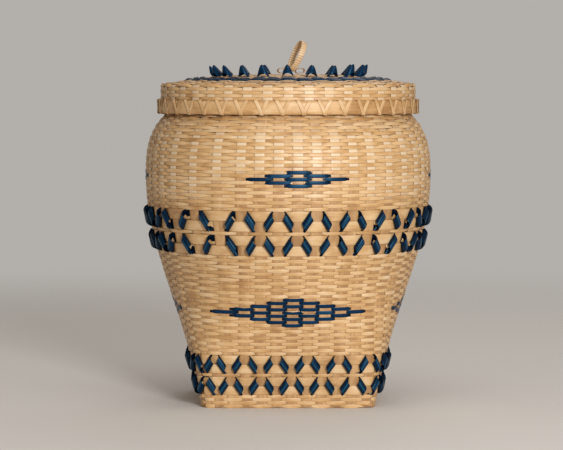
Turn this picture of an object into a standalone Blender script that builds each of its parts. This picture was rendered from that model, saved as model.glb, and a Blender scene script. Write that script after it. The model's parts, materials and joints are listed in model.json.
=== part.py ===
"""Lidded splint basket with a square foot, a round shoulder, curled ornament and a ring handle.

Metres, +Z up. The origin is the middle of the foot, on the surface the basket stands on, and
the front is the -Y face. Columns count the spaces between the uprights, anticlockwise seen
from above, from the front left corner.
"""

import math

import bmesh
import bpy
from mathutils import Matrix, Vector

MODEL_NAME = "splint_basket"

# Uprights: the splints that rise from the floor to the rim
UPRIGHTS_PER_FACE = 12
UPRIGHT_SHARE = 0.60            # of the space from one upright to the next
UPRIGHT_THICKNESS = 0.0005
CLEARANCE = 0.00025             # left between splints that lie on each other
PIECE_GAP = 0.0003              # left between pieces that meet edge to edge

# Outline of the body, to the middle of its wall
FOOT_HALF_WIDTH = 0.0763
FOOT_FLARE = 0.1625             # how far the wall leans out at the foot, as a slope
SHOULDER_HALF_WIDTH = 0.1273
SHOULDER_HEIGHT = 0.200
NECK_HALF_WIDTH = 0.1058
RIM_HEIGHT = 0.2817
COLLAR_LENGTH = 0.0044          # from the lid's lower edge up to the neck, which is upright
ROUND_HEIGHT = 0.125            # where the square section has become a circle
FOOT_CORNER_POWER = 12.0        # a high power is a square with small round corners
SHOULDER_BEND = 3.2             # a high power keeps the shoulder full and turns in late
WALL_THICKNESS = 0.0024
FLOOR_THICKNESS = 0.0022
BELLY_WEAVERS = 31              # odd, so that the over and under go on through both bands
SHOULDER_WEAVERS = 28
WEAVE_RELIEF = 0.0006           # from a weaver on the outside down to the upright beside it

# Bands of wide weavers that carry the curls
FOOT_WEAVE_HEIGHT = 0.012
LOWER_WEAVER_WIDTH = 0.0081
UPPER_WEAVER_WIDTH = 0.0090
THIN_WEAVER_WIDTH = 0.0032
UPPER_BAND_HEIGHT = 0.136       # where the upper band begins
WIDE_WEAVER_THICKNESS = 0.0004
CORNER_UPRIGHTS = 3             # on each side of a corner, where a weaver lies flat on an upright
FLAT_MARGIN = 0.05              # of a space, past the upright's edge, before the weaver turns in

# Curls: one twisted splint for each row, which stands out in every space
CURL_THICKNESS = 0.0003
CURL_STANDOFF = 0.0055
CURL_EDGE_INSET = 0.0008        # from the upright's edge to where the splint turns out
CURL_LINK_INSET = 0.0018        # from the middle of the row to the hidden part of the splint
RIDGE_LEFT = 0.0034             # ends of the ridge from the middle of the space, on a \ curl
RIDGE_RIGHT = 0.0026
RIDGE_RISE = 0.0045
RIDGE_DROP = 0.0054

# Hoops that stiffen the rim of the body
RIM_HOOP_HEIGHT = 0.010
RIM_HOOP_THICKNESS = 0.0015

# Lid
LID_PLAY = 0.0018               # all round, between the rim's outer hoop and the lid's inner one
LID_COLLAR_PLAY = 0.0009        # all round, between the shoulder and the lid's inner hoop
LID_SIDE_HEIGHT = 0.0237
LID_SHOULDER_DROP = 0.0022
LID_SHOULDER_INSET = 0.0020
LID_EDGE_EASE = 0.0005          # how far inside the lid's side the rounded edge is halfway down
LID_CROWN = 0.0091
LID_CROWN_POWER = 3.0           # a high power keeps the middle flat and drops late to the edge
LID_THICKNESS = 0.0024
LID_HOOP_HEIGHT = 0.0120
LID_HOOP_THICKNESS = 0.0017
LID_UPRIGHTS = 40
LASHING_RISE = 0.0026           # of the slanting strand, measured upright
LASHING_THICKNESS = 0.0005
LASHING_INSET = 0.0004          # from the hoop's edge to the fold of the lashing

# Dyed weaver and ring of curls on top of the lid
DYED_WEAVER_INNER = 0.080
DYED_WEAVER_OUTER = 0.094
DYED_WEAVER_WAVE = 0.0005
LID_CURLS = 20
LID_CURL_RADIUS = 0.0665
LID_CURL_LENGTH = 0.0120
LID_CURL_HEIGHT = 0.0100
LID_CURL_HEEL = 0.0025          # height of the ridge at the inner end
LID_CURL_SHARE = 0.78           # of the space from one curl to the next
LID_CURL_LEAN = 0.0050          # how far the point stands outside the middle of the ring

# Handle: a wrapped ring that tips over in a strap
RING_LENGTH = 0.0290
RING_WIDTH = 0.0260
RING_BAND_WIDTH = 0.0060
RING_BAND_THICKNESS = 0.0018
RING_LEAN = 20.0                # degrees from upright, to +X
RING_TURN = 16.0                # degrees that the hinge axis is turned from the Y axis
RING_OFFSET_X = 0.0027
RING_RUNNING_GAP = 0.0004
STRAP_WIDTH = 0.0050
STRAP_THICKNESS = 0.0006
STRAP_FOOT = 0.0080

# Fineness of the round shapes
LID_STEPS = 40
DOME_SHARES = (0.45, 0.70, 0.87)        # of the dome's radius, where its slope changes
RING_STATIONS = 24
STRAP_STATIONS = 9              # over the arch of the strap
BELLY_SPANS = 3                 # of the plain inside
SHOULDER_SPANS = 5
SLOPE_SAMPLES = 10              # for each span, where equal steps up the slope are measured
SHARP_ANGLE = 35.0

# Sizes that follow from these
COLUMNS = 4 * UPRIGHTS_PER_FACE
SPLINT_STEP = (UPRIGHT_THICKNESS + WIDE_WEAVER_THICKNESS) / 2.0 + CLEARANCE
LOWER_BAND_TOP = FOOT_WEAVE_HEIGHT + 4.0 * LOWER_WEAVER_WIDTH + THIN_WEAVER_WIDTH
UPPER_BAND_TOP = UPPER_BAND_HEIGHT + 4.0 * UPPER_WEAVER_WIDTH + THIN_WEAVER_WIDTH
RIM_RADIUS = NECK_HALF_WIDTH + WALL_THICKNESS / 2.0
RIM_REACH = RIM_RADIUS + PIECE_GAP + RIM_HOOP_THICKNESS
LID_HOOP_INSIDE = RIM_REACH + LID_PLAY
LID_INNER_RADIUS = LID_HOOP_INSIDE + LID_HOOP_THICKNESS + PIECE_GAP
LID_RADIUS = LID_INNER_RADIUS + LID_THICKNESS
DOME_RADIUS = LID_RADIUS - LID_SHOULDER_INSET
DOME_RISE = LID_CROWN * (RIM_REACH / DOME_RADIUS) ** LID_CROWN_POWER    # from the rim
LID_TOP_HEIGHT = RIM_HEIGHT + PIECE_GAP + LID_THICKNESS + DOME_RISE
LID_EDGE_HEIGHT = LID_TOP_HEIGHT - LID_CROWN - LID_SHOULDER_DROP
LID_BOTTOM_HEIGHT = LID_EDGE_HEIGHT - LID_SIDE_HEIGHT
COLLAR_HALF_WIDTH = LID_HOOP_INSIDE - LID_COLLAR_PLAY - WALL_THICKNESS / 2.0

# Colours
NATURAL = (0.64, 0.44, 0.22)
NATURAL_PALE = (0.72, 0.55, 0.33)
NATURAL_WARM = (0.56, 0.34, 0.14)
DYED_BLUE = (0.008, 0.040, 0.110)


def smooth(share):
    """Ease from 0 to 1 with level ends."""
    held = min(max(share, 0.0), 1.0)
    return held * held * (3.0 - 2.0 * held)


def half_width(height):
    """Middle of the wall, from the axis to the middle of a face."""
    if height <= SHOULDER_HEIGHT:
        share = height / SHOULDER_HEIGHT
        widening = (SHOULDER_HALF_WIDTH - FOOT_HALF_WIDTH) * smooth(share)
        flare = FOOT_FLARE * SHOULDER_HEIGHT * share * (1.0 - share) ** 2
        return FOOT_HALF_WIDTH + widening + flare
    if height <= LID_BOTTOM_HEIGHT:
        share = (height - SHOULDER_HEIGHT) / (LID_BOTTOM_HEIGHT - SHOULDER_HEIGHT)
        return SHOULDER_HALF_WIDTH - (SHOULDER_HALF_WIDTH - COLLAR_HALF_WIDTH) * share ** SHOULDER_BEND
    share = min((height - LID_BOTTOM_HEIGHT) / COLLAR_LENGTH, 1.0)
    return COLLAR_HALF_WIDTH + (NECK_HALF_WIDTH - COLLAR_HALF_WIDTH) * share


def roundness_at(height):
    """0 where the section is square, 1 where it is a circle."""
    return smooth(height / ROUND_HEIGHT)


def section_point(column, height):
    """Point of the middle of the wall, on a section that goes from square to round."""
    face, step = divmod(column % COLUMNS, UPRIGHTS_PER_FACE)
    roundness = roundness_at(height)
    straight = 2.0 * step / UPRIGHTS_PER_FACE - 1.0
    turned = math.tan((step / UPRIGHTS_PER_FACE - 0.5) * math.pi / 2.0)
    across = (1.0 - roundness) * straight + roundness * turned
    power = 2.0 / (roundness + (1.0 - roundness) * 2.0 / FOOT_CORNER_POWER)
    reach = half_width(height) / (abs(across) ** power + 1.0) ** (1.0 / power)
    quarter_turns = Matrix.Rotation(face * math.pi / 2.0, 3, "Z")
    return quarter_turns @ Vector((across * reach, -reach, height))


def wall_directions(column, height):
    """Level directions along the wall, anticlockwise, and straight out of it."""
    nearby = 0.01
    along = section_point(column + nearby, height) - section_point(column - nearby, height)
    along.normalize()
    return along, Vector((along.y, -along.x, 0.0))


def wall_point(column, height, offset=0.0):
    """Point at a level distance outside the middle of the wall."""
    outward = wall_directions(column, height)[1]
    return section_point(column, height) + outward * offset


def space_point(column, level, across, height, offset):
    """Point in the straight frame of one space between uprights, at another level."""
    along, outward = wall_directions(column, level)
    foot = section_point(column, height)
    return foot + along * across + outward * offset


def pitch_at(column, height):
    """Distance from one upright to the next across a space."""
    return (section_point(column + 0.5, height) - section_point(column - 0.5, height)).length


def bow_at(column, height):
    """How far a straight splint across a space cuts inside the wall."""
    straight = (section_point(column + 0.5, height) + section_point(column - 0.5, height)) / 2.0
    return (section_point(column, height) - straight).length


def crown_height(radius):
    """Height of the top of the lid at a distance from the axis."""
    return LID_TOP_HEIGHT - LID_CROWN * (radius / DOME_RADIUS) ** LID_CROWN_POWER


def make_material(name, colour, roughness):
    """Matt splint or satin dyed splint."""
    material = bpy.data.materials.new(name)
    material.use_nodes = True
    shader = material.node_tree.nodes["Principled BSDF"]
    shader.inputs["Base Color"].default_value = (*colour, 1.0)
    shader.inputs["Roughness"].default_value = roughness
    shader.inputs["Metallic"].default_value = 0.0
    material.diffuse_color = (*colour, 1.0)
    return material


def add_object(name, build, material):
    """Object in the basket's collection from a finished bmesh."""
    mesh = bpy.data.meshes.new(name)
    build.to_mesh(mesh)
    build.free()
    mesh.materials.append(material)
    model = bpy.data.objects.new(name, mesh)
    parts.objects.link(model)
    return model


def solidify(model, thickness):
    """Give a splint its thickness, half to each side of the drawn surface."""
    shell = model.modifiers.new("Splint thickness", "SOLIDIFY")
    shell.thickness = thickness
    shell.offset = 0.0
    return model


def splint(name, stations, thickness, material, closed=True, lean=None):
    """A flat splint through a row of stations, each a pair of points on its two edges.

    lean says for each stretch which diagonal the twisted stretch folds along: 1 from the
    second edge up to the first, -1 the other way.
    """
    build = bmesh.new()
    edges = [(build.verts.new(first), build.verts.new(second)) for first, second in stations]
    stretches = len(edges) if closed else len(edges) - 1
    for index in range(stretches):
        first_a, first_b = edges[index]
        next_a, next_b = edges[(index + 1) % len(edges)]
        if lean is None or lean[index] > 0:
            build.faces.new((first_b, next_a, first_a))
            build.faces.new((first_b, next_b, next_a))
        else:
            build.faces.new((first_a, first_b, next_b))
            build.faces.new((first_a, next_b, next_a))
    return solidify(add_object(name, build, material), thickness)


def closed_loft(name, sections, material, woven_from=0, woven_to=0):
    """Closed ring through sections that are closed outlines with one count of points.

    From the outline's point woven_from to woven_to the faces are folded from each raised
    point to the next, which lie diagonally as in a weave.
    """
    build = bmesh.new()
    rows = [[build.verts.new(point) for point in section] for section in sections]
    points = len(rows[0])
    for index, row in enumerate(rows):
        following = rows[(index + 1) % len(rows)]
        for point in range(points):
            after = (point + 1) % points
            corners = [row[point], following[point], following[after], row[after]]
            if woven_from <= point < woven_to:
                if (index + point) % 2:
                    corners = corners[1:] + corners[:1]
                build.faces.new((corners[0], corners[1], corners[2]))
                build.faces.new((corners[0], corners[2], corners[3]))
            else:
                build.faces.new(corners)
    model = add_object(name, build, material)
    model.data.shade_smooth()
    model.data.set_sharp_from_angle(angle=math.radians(SHARP_ANGLE))
    return model


def foot_wall(material):
    """Short woven wall round the floor, with a column on each corner."""
    sections = []
    for column in range(COLUMNS):
        outer = [wall_point(column, level, WALL_THICKNESS / 2.0) for level in (0.0, FOOT_WEAVE_HEIGHT)]
        inner = [wall_point(column, level, -WALL_THICKNESS / 2.0) for level in (FOOT_WEAVE_HEIGHT, 0.0)]
        sections.append(outer + inner)
    return closed_loft("foot_wall", sections, material)


def woven_wall(name, bottom, top, weavers, spans, material, neck=()):
    """Stretch of plain weave that stands out where a weaver lies over an upright.

    The first weaver lies over the odd uprights. Above the weave the wall goes on plain
    through the neck's levels, and the inside is plain, with a level at every span.
    """
    woven = sloping_levels(bottom, top, 2 * weavers)[1::2]
    plain = sloping_levels(bottom, top, spans) + list(neck)
    surface = WALL_THICKNESS / 2.0
    sections = []
    for upright in range(COLUMNS):
        column = upright + 0.5
        outer = [wall_point(column, bottom, surface - WEAVE_RELIEF)]
        for row, level in enumerate(woven):
            raised = (row + upright) % 2
            outer.append(wall_point(column, level, surface if raised else surface - WEAVE_RELIEF))
        outer.append(wall_point(column, top, surface - WEAVE_RELIEF))
        outer += [wall_point(column, level, surface) for level in neck]
        inner = [wall_point(column, level, -surface) for level in reversed(plain)]
        sections.append(outer + inner)
    return closed_loft(name, sections, material, woven_from=1, woven_to=weavers)


def even_levels(bottom, top, spans):
    """Levels at equal steps from bottom to top."""
    return [bottom + (top - bottom) * step / spans for step in range(spans + 1)]


def sloping_levels(bottom, top, spans):
    """Levels at equal steps up the slope of the wall."""
    samples = even_levels(bottom, top, spans * SLOPE_SAMPLES)
    runs = [0.0]
    for below, above in zip(samples, samples[1:]):
        runs.append(runs[-1] + math.hypot(above - below, half_width(above) - half_width(below)))
    levels = [bottom]
    for step in range(1, spans):
        goal = runs[-1] * step / spans
        after = next(index for index, run in enumerate(runs) if run >= goal)
        share = (goal - runs[after - 1]) / (runs[after] - runs[after - 1])
        levels.append(samples[after - 1] + (samples[after] - samples[after - 1]) * share)
    return levels + [top]


def floor_mat(material):
    """Woven floor, which fits inside the foot of the wall."""
    inset = WALL_THICKNESS / 2.0 + PIECE_GAP
    build = bmesh.new()
    loops = []
    for level in (0.0, FLOOR_THICKNESS):
        loops.append([build.verts.new(wall_point(column, level, -inset)) for column in range(COLUMNS)])
    build.faces.new(list(reversed(loops[0])))
    build.faces.new(loops[1])
    for column in range(COLUMNS):
        after = (column + 1) % COLUMNS
        build.faces.new((loops[0][column], loops[0][after], loops[1][after], loops[1][column]))
    return add_object("floor_mat", build, material)


def upright_cage(name, bottom, thin_row, top, material):
    """Uprights across a band, held by the thin weaver between its two rows of curls."""
    levels = (bottom, thin_row, thin_row + THIN_WEAVER_WIDTH, top)
    half_share = UPRIGHT_SHARE / 2.0
    build = bmesh.new()
    lines = []
    for column in range(COLUMNS):
        for edge in (column + 0.5 - half_share, column + 0.5 + half_share):
            lines.append([build.verts.new(wall_point(edge, level)) for level in levels])
    for index, line in enumerate(lines):
        beside = lines[(index + 1) % len(lines)]
        on_upright = index % 2 == 0
        for row in range(len(levels) - 1):
            if on_upright or row == 1:
                build.faces.new((line[row], beside[row], beside[row + 1], line[row + 1]))
    loose = [vertex for vertex in build.verts if not vertex.link_faces]
    bmesh.ops.delete(build, geom=loose, context="VERTS")
    return solidify(add_object(name, build, material), UPRIGHT_THICKNESS)


def weave_reaches(height):
    """How far a weaver stands outside and inside the uprights, at the middle of each.

    It runs straight from over one upright to under the next, and clears the edge of the
    one, and the curled splint that lies behind the other.
    """
    middle = UPRIGHTS_PER_FACE // 2
    pitch = pitch_at(middle, height)
    bow = max(bow_at(column, height) for column in range(CORNER_UPRIGHTS, middle + 1))
    over_need = SPLINT_STEP + bow
    under_need = SPLINT_STEP + CURL_THICKNESS + CLEARANCE
    over_at = UPRIGHT_SHARE / 2.0
    under_at = UPRIGHT_SHARE / 2.0 + CURL_EDGE_INSET / pitch
    over_gain = over_at / (1.0 - over_at)
    over_base = over_need / (1.0 - over_at)
    under = (under_need + under_at * over_base) / (1.0 - under_at - under_at * over_gain)
    over = over_base + over_gain * under
    return over, under


def wide_weaver(name, bottom, top, over_even, material):
    """One wide weaver, which passes over every second upright and under the others."""
    low = bottom + PIECE_GAP / 2.0
    high = top - PIECE_GAP / 2.0
    over, under = weave_reaches((low + high) / 2.0)
    has_corners = roundness_at(high) < 1.0
    path = []
    for column in range(COLUMNS):
        goes_over = (column % 2 == 0) == over_even
        in_face = column % UPRIGHTS_PER_FACE
        from_corner = min(in_face, UPRIGHTS_PER_FACE - 1 - in_face)
        if goes_over and has_corners and from_corner < CORNER_UPRIGHTS:
            half_flat = UPRIGHT_SHARE / 2.0 + FLAT_MARGIN
            path.append((column + 0.5 - half_flat, SPLINT_STEP))
            path.append((column + 0.5 + half_flat, SPLINT_STEP))
        else:
            path.append((column + 0.5, over if goes_over else -under))
    stations = []
    for column, offset in path:
        stations.append((wall_point(column, high, offset), wall_point(column, low, offset)))
    return splint(name, stations, WIDE_WEAVER_THICKNESS, material)


def curl_stations(column, middle, weaver_width, slant):
    """Where a curl comes out, its ridge and where it goes in again, in one space.

    A slant of 1 falls to the right and starts behind the upper weaver's upright, and -1
    rises to the right and starts at the lower one.
    """
    pitch = pitch_at(column, middle)
    crowding = pitch / pitch_at(UPRIGHTS_PER_FACE // 2, middle)
    edge = (0.5 - UPRIGHT_SHARE / 2.0) - CURL_EDGE_INSET / pitch
    hidden = -(UPRIGHT_THICKNESS + CURL_THICKNESS) / 2.0 - CLEARANCE
    near = CURL_LINK_INSET
    far = weaver_width - PIECE_GAP
    upper = (middle + far, middle + near)
    lower = (middle - near, middle - far)
    entering = upper if slant > 0 else lower
    leaving = lower if slant > 0 else upper
    ridge_top = (-slant * RIDGE_LEFT * crowding, middle + RIDGE_RISE)
    ridge_bottom = (slant * RIDGE_RIGHT * crowding, middle - RIDGE_DROP)
    coming = tuple(wall_point(column - edge, level, hidden) for level in entering)
    going = tuple(wall_point(column + edge, level, hidden) for level in leaving)
    ridge = tuple(space_point(column, middle, *end, CURL_STANDOFF) for end in (ridge_top, ridge_bottom))
    return [coming, ridge, going]


def curl_strip(name, middle, weaver_width, first_slant, material):
    """One dyed splint that curls out in each space round the basket."""
    stations = []
    lean = []
    for column in range(COLUMNS):
        slant = first_slant if column % 2 == 0 else -first_slant
        stations.extend(curl_stations(column, middle, weaver_width, slant))
        lean.extend((slant, slant, 1))
    return splint(name, stations, CURL_THICKNESS, material, lean=lean)


def curl_band(name, bottom, top_limit, weaver_width, first_slant, materials):
    """Uprights, four wide weavers and two rows of curls."""
    natural, pale, dyed = materials
    lower_middle = bottom + weaver_width
    thin_row = lower_middle + weaver_width
    upper_middle = thin_row + THIN_WEAVER_WIDTH + weaver_width
    upright_cage(name + "_uprights", bottom + PIECE_GAP, thin_row, top_limit - PIECE_GAP, natural)
    rows = (
        (lower_middle - weaver_width, True),
        (lower_middle, False),
        (upper_middle - weaver_width, False),
        (upper_middle, True),
    )
    for number, (row, over_even) in enumerate(rows, start=1):
        wide_weaver(f"{name}_wide_weaver_{number}", row, row + weaver_width, over_even, pale)
    curl_strip(name + "_curl_strip_1", lower_middle, weaver_width, -first_slant, dyed)
    curl_strip(name + "_curl_strip_2", upper_middle, weaver_width, first_slant, dyed)


def hoop(name, inner_radius, thickness, bottom, height, material, steps):
    """Flat hoop of bent splint, turned about the basket's axis, with a corner at +X."""
    outer_radius = inner_radius + thickness
    top = bottom + height
    build = bmesh.new()
    outline = ((outer_radius, top), (outer_radius, bottom), (inner_radius, bottom), (inner_radius, top))
    corners = [build.verts.new((radius, 0.0, level)) for radius, level in outline]
    for index, corner in enumerate(corners):
        build.edges.new((corner, corners[(index + 1) % len(corners)]))
    return turned(add_object(name, build, material), steps)


def rim_hoop(name, inner_radius, material):
    """Hoop on the neck of the body, with its corners at the uprights as the wall's are."""
    bottom = RIM_HEIGHT - RIM_HOOP_HEIGHT
    model = hoop(name, inner_radius, RIM_HOOP_THICKNESS, bottom, RIM_HOOP_HEIGHT, material, COLUMNS)
    model.rotation_euler.z = math.pi / COLUMNS
    return model


def turned(model, steps):
    """Turn an outline at +X once round the Z axis."""
    screw = model.modifiers.new("Turn", "SCREW")
    screw.steps = steps
    screw.render_steps = steps
    screw.use_merge_vertices = True
    screw.merge_threshold = 0.00001
    screw.use_smooth_shade = False
    return model


def lid_top(material):
    """Low dome with a rounded edge, one shell thick."""
    radii = [0.0] + [DOME_RADIUS * share for share in DOME_SHARES]
    half_down = LID_EDGE_HEIGHT + LID_SHOULDER_DROP / 2.0
    outer = [(radius, crown_height(radius)) for radius in radii + [DOME_RADIUS]]
    outer += [(LID_RADIUS - LID_EDGE_EASE, half_down), (LID_RADIUS, LID_EDGE_HEIGHT)]
    inner = [(LID_INNER_RADIUS, LID_EDGE_HEIGHT)]
    for radius in [DOME_RADIUS - LID_SHOULDER_INSET] + radii[::-1]:
        inner.append((radius, crown_height(radius) - LID_THICKNESS))
    build = bmesh.new()
    corners = [build.verts.new((radius, 0.0, level)) for radius, level in outer + inner]
    for index in range(len(corners) - 1):
        build.edges.new((corners[index], corners[index + 1]))
    return turned(add_object("lid_top", build, material), LID_STEPS)


def lid_lashing(material):
    """Thin splint that zigzags over the outer hoop and holds it to the wall."""
    radius = LID_RADIUS + PIECE_GAP + LID_HOOP_THICKNESS + CLEARANCE + LASHING_THICKNESS / 2.0
    low = LID_BOTTOM_HEIGHT + LASHING_INSET
    high = LID_BOTTOM_HEIGHT + LID_HOOP_HEIGHT - LASHING_INSET - LASHING_RISE
    stations = []
    for fold in range(2 * LID_UPRIGHTS):
        angle = fold * math.pi / LID_UPRIGHTS
        level = low if fold % 2 == 0 else high
        stations.append((on_circle(radius, angle, level + LASHING_RISE), on_circle(radius, angle, level)))
    return splint("lid_lashing", stations, LASHING_THICKNESS, material)


def on_circle(radius, angle, level):
    """Point on a level circle, its angle measured from +X."""
    return Vector((radius * math.cos(angle), radius * math.sin(angle), level))


def dyed_weaver(material):
    """Dyed weaver that lies in waves on the lid's uprights."""
    stations = []
    for upright in range(LID_UPRIGHTS):
        angle = upright * 2.0 * math.pi / LID_UPRIGHTS
        wave = DYED_WEAVER_WAVE if upright % 2 else 0.0
        lift = PIECE_GAP + WIDE_WEAVER_THICKNESS / 2.0 + wave
        outer = on_circle(DYED_WEAVER_OUTER, angle, crown_height(DYED_WEAVER_OUTER) + lift)
        inner = on_circle(DYED_WEAVER_INNER, angle, crown_height(DYED_WEAVER_INNER) + lift)
        stations.append((inner, outer))
    return splint("lid_dyed_weaver", stations, WIDE_WEAVER_THICKNESS, material)


def lid_curl_strip(material):
    """Dyed splint that rises to a point twenty times round the lid."""
    step = 2.0 * math.pi / LID_CURLS
    foot_in = LID_CURL_RADIUS - LID_CURL_LENGTH / 2.0
    foot_out = LID_CURL_RADIUS + LID_CURL_LENGTH / 2.0
    lift = PIECE_GAP + CURL_THICKNESS / 2.0
    stations = []
    for number in range(LID_CURLS):
        middle = number * step
        spread = LID_CURL_SHARE * step / 2.0
        for angle in (middle - spread, middle + spread):
            inner = on_circle(foot_in, angle, crown_height(foot_in) + lift)
            outer = on_circle(foot_out, angle, crown_height(foot_out) + lift)
            if angle > middle:
                tip_height = crown_height(foot_out) + LID_CURL_HEIGHT
                tip = on_circle(LID_CURL_RADIUS + LID_CURL_LEAN, middle, tip_height)
                heel = on_circle(foot_in, middle, crown_height(foot_in) + LID_CURL_HEEL)
                stations.append((heel, tip))
            stations.append((inner, outer))
    return splint("lid_curl_strip", stations, CURL_THICKNESS, material)


def ring_axis_height():
    """Height of the handle's hinge axis: the band's corners just clear the lid as it tips."""
    return LID_TOP_HEIGHT + ring_sweep() + RING_RUNNING_GAP


def ring_sweep():
    """Greatest distance of the band under the strap from the hinge axis."""
    curve = (STRAP_WIDTH / 2.0) ** 2 / RING_WIDTH
    return math.hypot(RING_BAND_WIDTH / 2.0, RING_BAND_THICKNESS / 2.0 + curve)


def handle_ring(material):
    """Long ring of wrapped band, drawn upright with the hinge axis along its own Y."""
    half_length = (RING_LENGTH - RING_BAND_THICKNESS) / 2.0
    half_across = (RING_WIDTH - RING_BAND_THICKNESS) / 2.0
    stations = []
    for station in range(RING_STATIONS):
        angle = station * 2.0 * math.pi / RING_STATIONS
        across = half_across * math.sin(angle)
        level = half_length * (1.0 - math.cos(angle))
        front = Vector((RING_BAND_WIDTH / 2.0, across, level))
        back = Vector((-RING_BAND_WIDTH / 2.0, across, level))
        stations.append((front, back))
    ring = splint("handle_ring", stations, RING_BAND_THICKNESS, material)
    ring.parent = handle_pivot
    ring.rotation_euler = (0.0, math.radians(RING_LEAN), 0.0)
    return ring


def handle_strap(material):
    """Splint whose ends lie on the lid and whose middle arches over the foot of the ring."""
    arch_radius = ring_sweep() + RING_RUNNING_GAP + STRAP_THICKNESS / 2.0
    foot_level = LID_TOP_HEIGHT + PIECE_GAP + STRAP_THICKNESS / 2.0 - ring_axis_height()
    path = [(-arch_radius - STRAP_FOOT, foot_level), (-arch_radius, foot_level)]
    for step in range(STRAP_STATIONS):
        angle = math.pi * step / (STRAP_STATIONS - 1)
        path.append((-arch_radius * math.cos(angle), arch_radius * math.sin(angle)))
    path += [(arch_radius, foot_level), (arch_radius + STRAP_FOOT, foot_level)]
    half = STRAP_WIDTH / 2.0
    stations = []
    for along, level in path:
        stations.append((Vector((along, half, level)), Vector((along, -half, level))))
    strap = splint("handle_strap", stations, STRAP_THICKNESS, material, closed=False)
    strap.parent = handle_pivot
    return strap


for old_object in list(bpy.data.objects):
    bpy.data.objects.remove(old_object, do_unlink=True)

parts = bpy.data.collections.new(MODEL_NAME)
bpy.context.scene.collection.children.link(parts)

ash = make_material("ash_splint", NATURAL, 0.55)
ash_pale = make_material("ash_splint_pale", NATURAL_PALE, 0.50)
ash_warm = make_material("ash_splint_warm", NATURAL_WARM, 0.55)
blue = make_material("dyed_splint", DYED_BLUE, 0.35)

# Body
floor_mat(ash)
foot_wall(ash)
woven_wall("belly_wall", LOWER_BAND_TOP, UPPER_BAND_HEIGHT, BELLY_WEAVERS, BELLY_SPANS, ash)
neck_levels = (LID_BOTTOM_HEIGHT + COLLAR_LENGTH, RIM_HEIGHT)
shoulder = (UPPER_BAND_TOP, LID_BOTTOM_HEIGHT, SHOULDER_WEAVERS, SHOULDER_SPANS)
woven_wall("shoulder_wall", *shoulder, ash, neck_levels)
body_splints = (ash_warm, ash_pale, blue)
curl_band("lower", FOOT_WEAVE_HEIGHT, LOWER_BAND_TOP, LOWER_WEAVER_WIDTH, 1, body_splints)
curl_band("upper", UPPER_BAND_HEIGHT, UPPER_BAND_TOP, UPPER_WEAVER_WIDTH, 1, body_splints)

rim_hoop("rim_outer_hoop", RIM_RADIUS + PIECE_GAP, ash_warm)
rim_hoop("rim_inner_hoop", RIM_RADIUS - WALL_THICKNESS - PIECE_GAP - RIM_HOOP_THICKNESS, ash_warm)

# Lid, which rests on the rim
lid_top(ash)
lid_side_size = (LID_THICKNESS, LID_BOTTOM_HEIGHT, LID_SIDE_HEIGHT - PIECE_GAP)
hoop("lid_wall", LID_INNER_RADIUS, *lid_side_size, ash, LID_STEPS)
lid_hoop_size = (LID_HOOP_THICKNESS, LID_BOTTOM_HEIGHT, LID_HOOP_HEIGHT)
hoop("lid_outer_hoop", LID_RADIUS + PIECE_GAP, *lid_hoop_size, ash_pale, LID_STEPS)
hoop("lid_inner_hoop", LID_HOOP_INSIDE, *lid_hoop_size, ash_warm, LID_STEPS)
lid_lashing(ash_warm)
dyed_weaver(blue)
lid_curl_strip(blue)

# Handle
handle_pivot = bpy.data.objects.new("handle_pivot", None)
parts.objects.link(handle_pivot)
handle_pivot.location = (RING_OFFSET_X, 0.0, ring_axis_height())
handle_pivot.rotation_euler = (0.0, 0.0, math.radians(RING_TURN))
handle_ring(ash_pale)
handle_strap(ash)
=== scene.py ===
"""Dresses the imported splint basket: woven walls, curled bands, plaited lid, wrapped handle.

Run with blender --background --python scene.py. Metres, +Z up. The front of the basket is the
-Y face. Columns count the spaces between the uprights, anticlockwise seen from above, from the
front left corner, so that upright k stands at column k + 0.5. The lid's upright 0 is in front.
"""

import json
import math

import bpy
import numpy as np
from bpy.props import FloatProperty, FloatVectorProperty, IntProperty, PointerProperty
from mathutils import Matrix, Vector


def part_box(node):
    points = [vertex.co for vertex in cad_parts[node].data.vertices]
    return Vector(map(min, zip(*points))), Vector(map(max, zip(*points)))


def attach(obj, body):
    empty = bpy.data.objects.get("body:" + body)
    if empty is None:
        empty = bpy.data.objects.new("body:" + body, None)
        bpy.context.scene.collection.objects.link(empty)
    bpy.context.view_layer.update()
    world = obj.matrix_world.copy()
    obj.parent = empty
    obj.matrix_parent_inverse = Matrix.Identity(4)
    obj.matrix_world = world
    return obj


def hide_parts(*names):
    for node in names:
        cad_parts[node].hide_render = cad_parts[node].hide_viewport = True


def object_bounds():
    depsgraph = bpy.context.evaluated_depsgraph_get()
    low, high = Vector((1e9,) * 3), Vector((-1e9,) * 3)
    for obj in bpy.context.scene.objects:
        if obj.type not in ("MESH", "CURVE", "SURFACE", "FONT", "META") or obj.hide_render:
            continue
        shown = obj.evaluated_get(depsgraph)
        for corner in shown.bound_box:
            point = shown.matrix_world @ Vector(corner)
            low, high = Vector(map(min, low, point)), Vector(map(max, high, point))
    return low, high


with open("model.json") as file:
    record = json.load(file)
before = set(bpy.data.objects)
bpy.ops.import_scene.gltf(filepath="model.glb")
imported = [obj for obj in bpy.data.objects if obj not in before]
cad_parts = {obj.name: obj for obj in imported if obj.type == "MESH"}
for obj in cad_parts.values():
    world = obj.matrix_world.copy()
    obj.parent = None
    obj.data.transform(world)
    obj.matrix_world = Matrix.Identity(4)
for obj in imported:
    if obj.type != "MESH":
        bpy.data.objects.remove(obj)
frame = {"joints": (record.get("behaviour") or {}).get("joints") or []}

bl_info = {
    "name": "Splint Basket Dressing",
    "version": (1, 0, 0),
    "blender": (4, 5, 0),
    "location": "View3D > Sidebar > Basket",
    "description": "Weaves, curls and lashes the surfaces of a lidded splint basket",
    "category": "Object",
}

PHOTO_WIDTH = 563
SENSOR_WIDTH = 36.0

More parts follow.
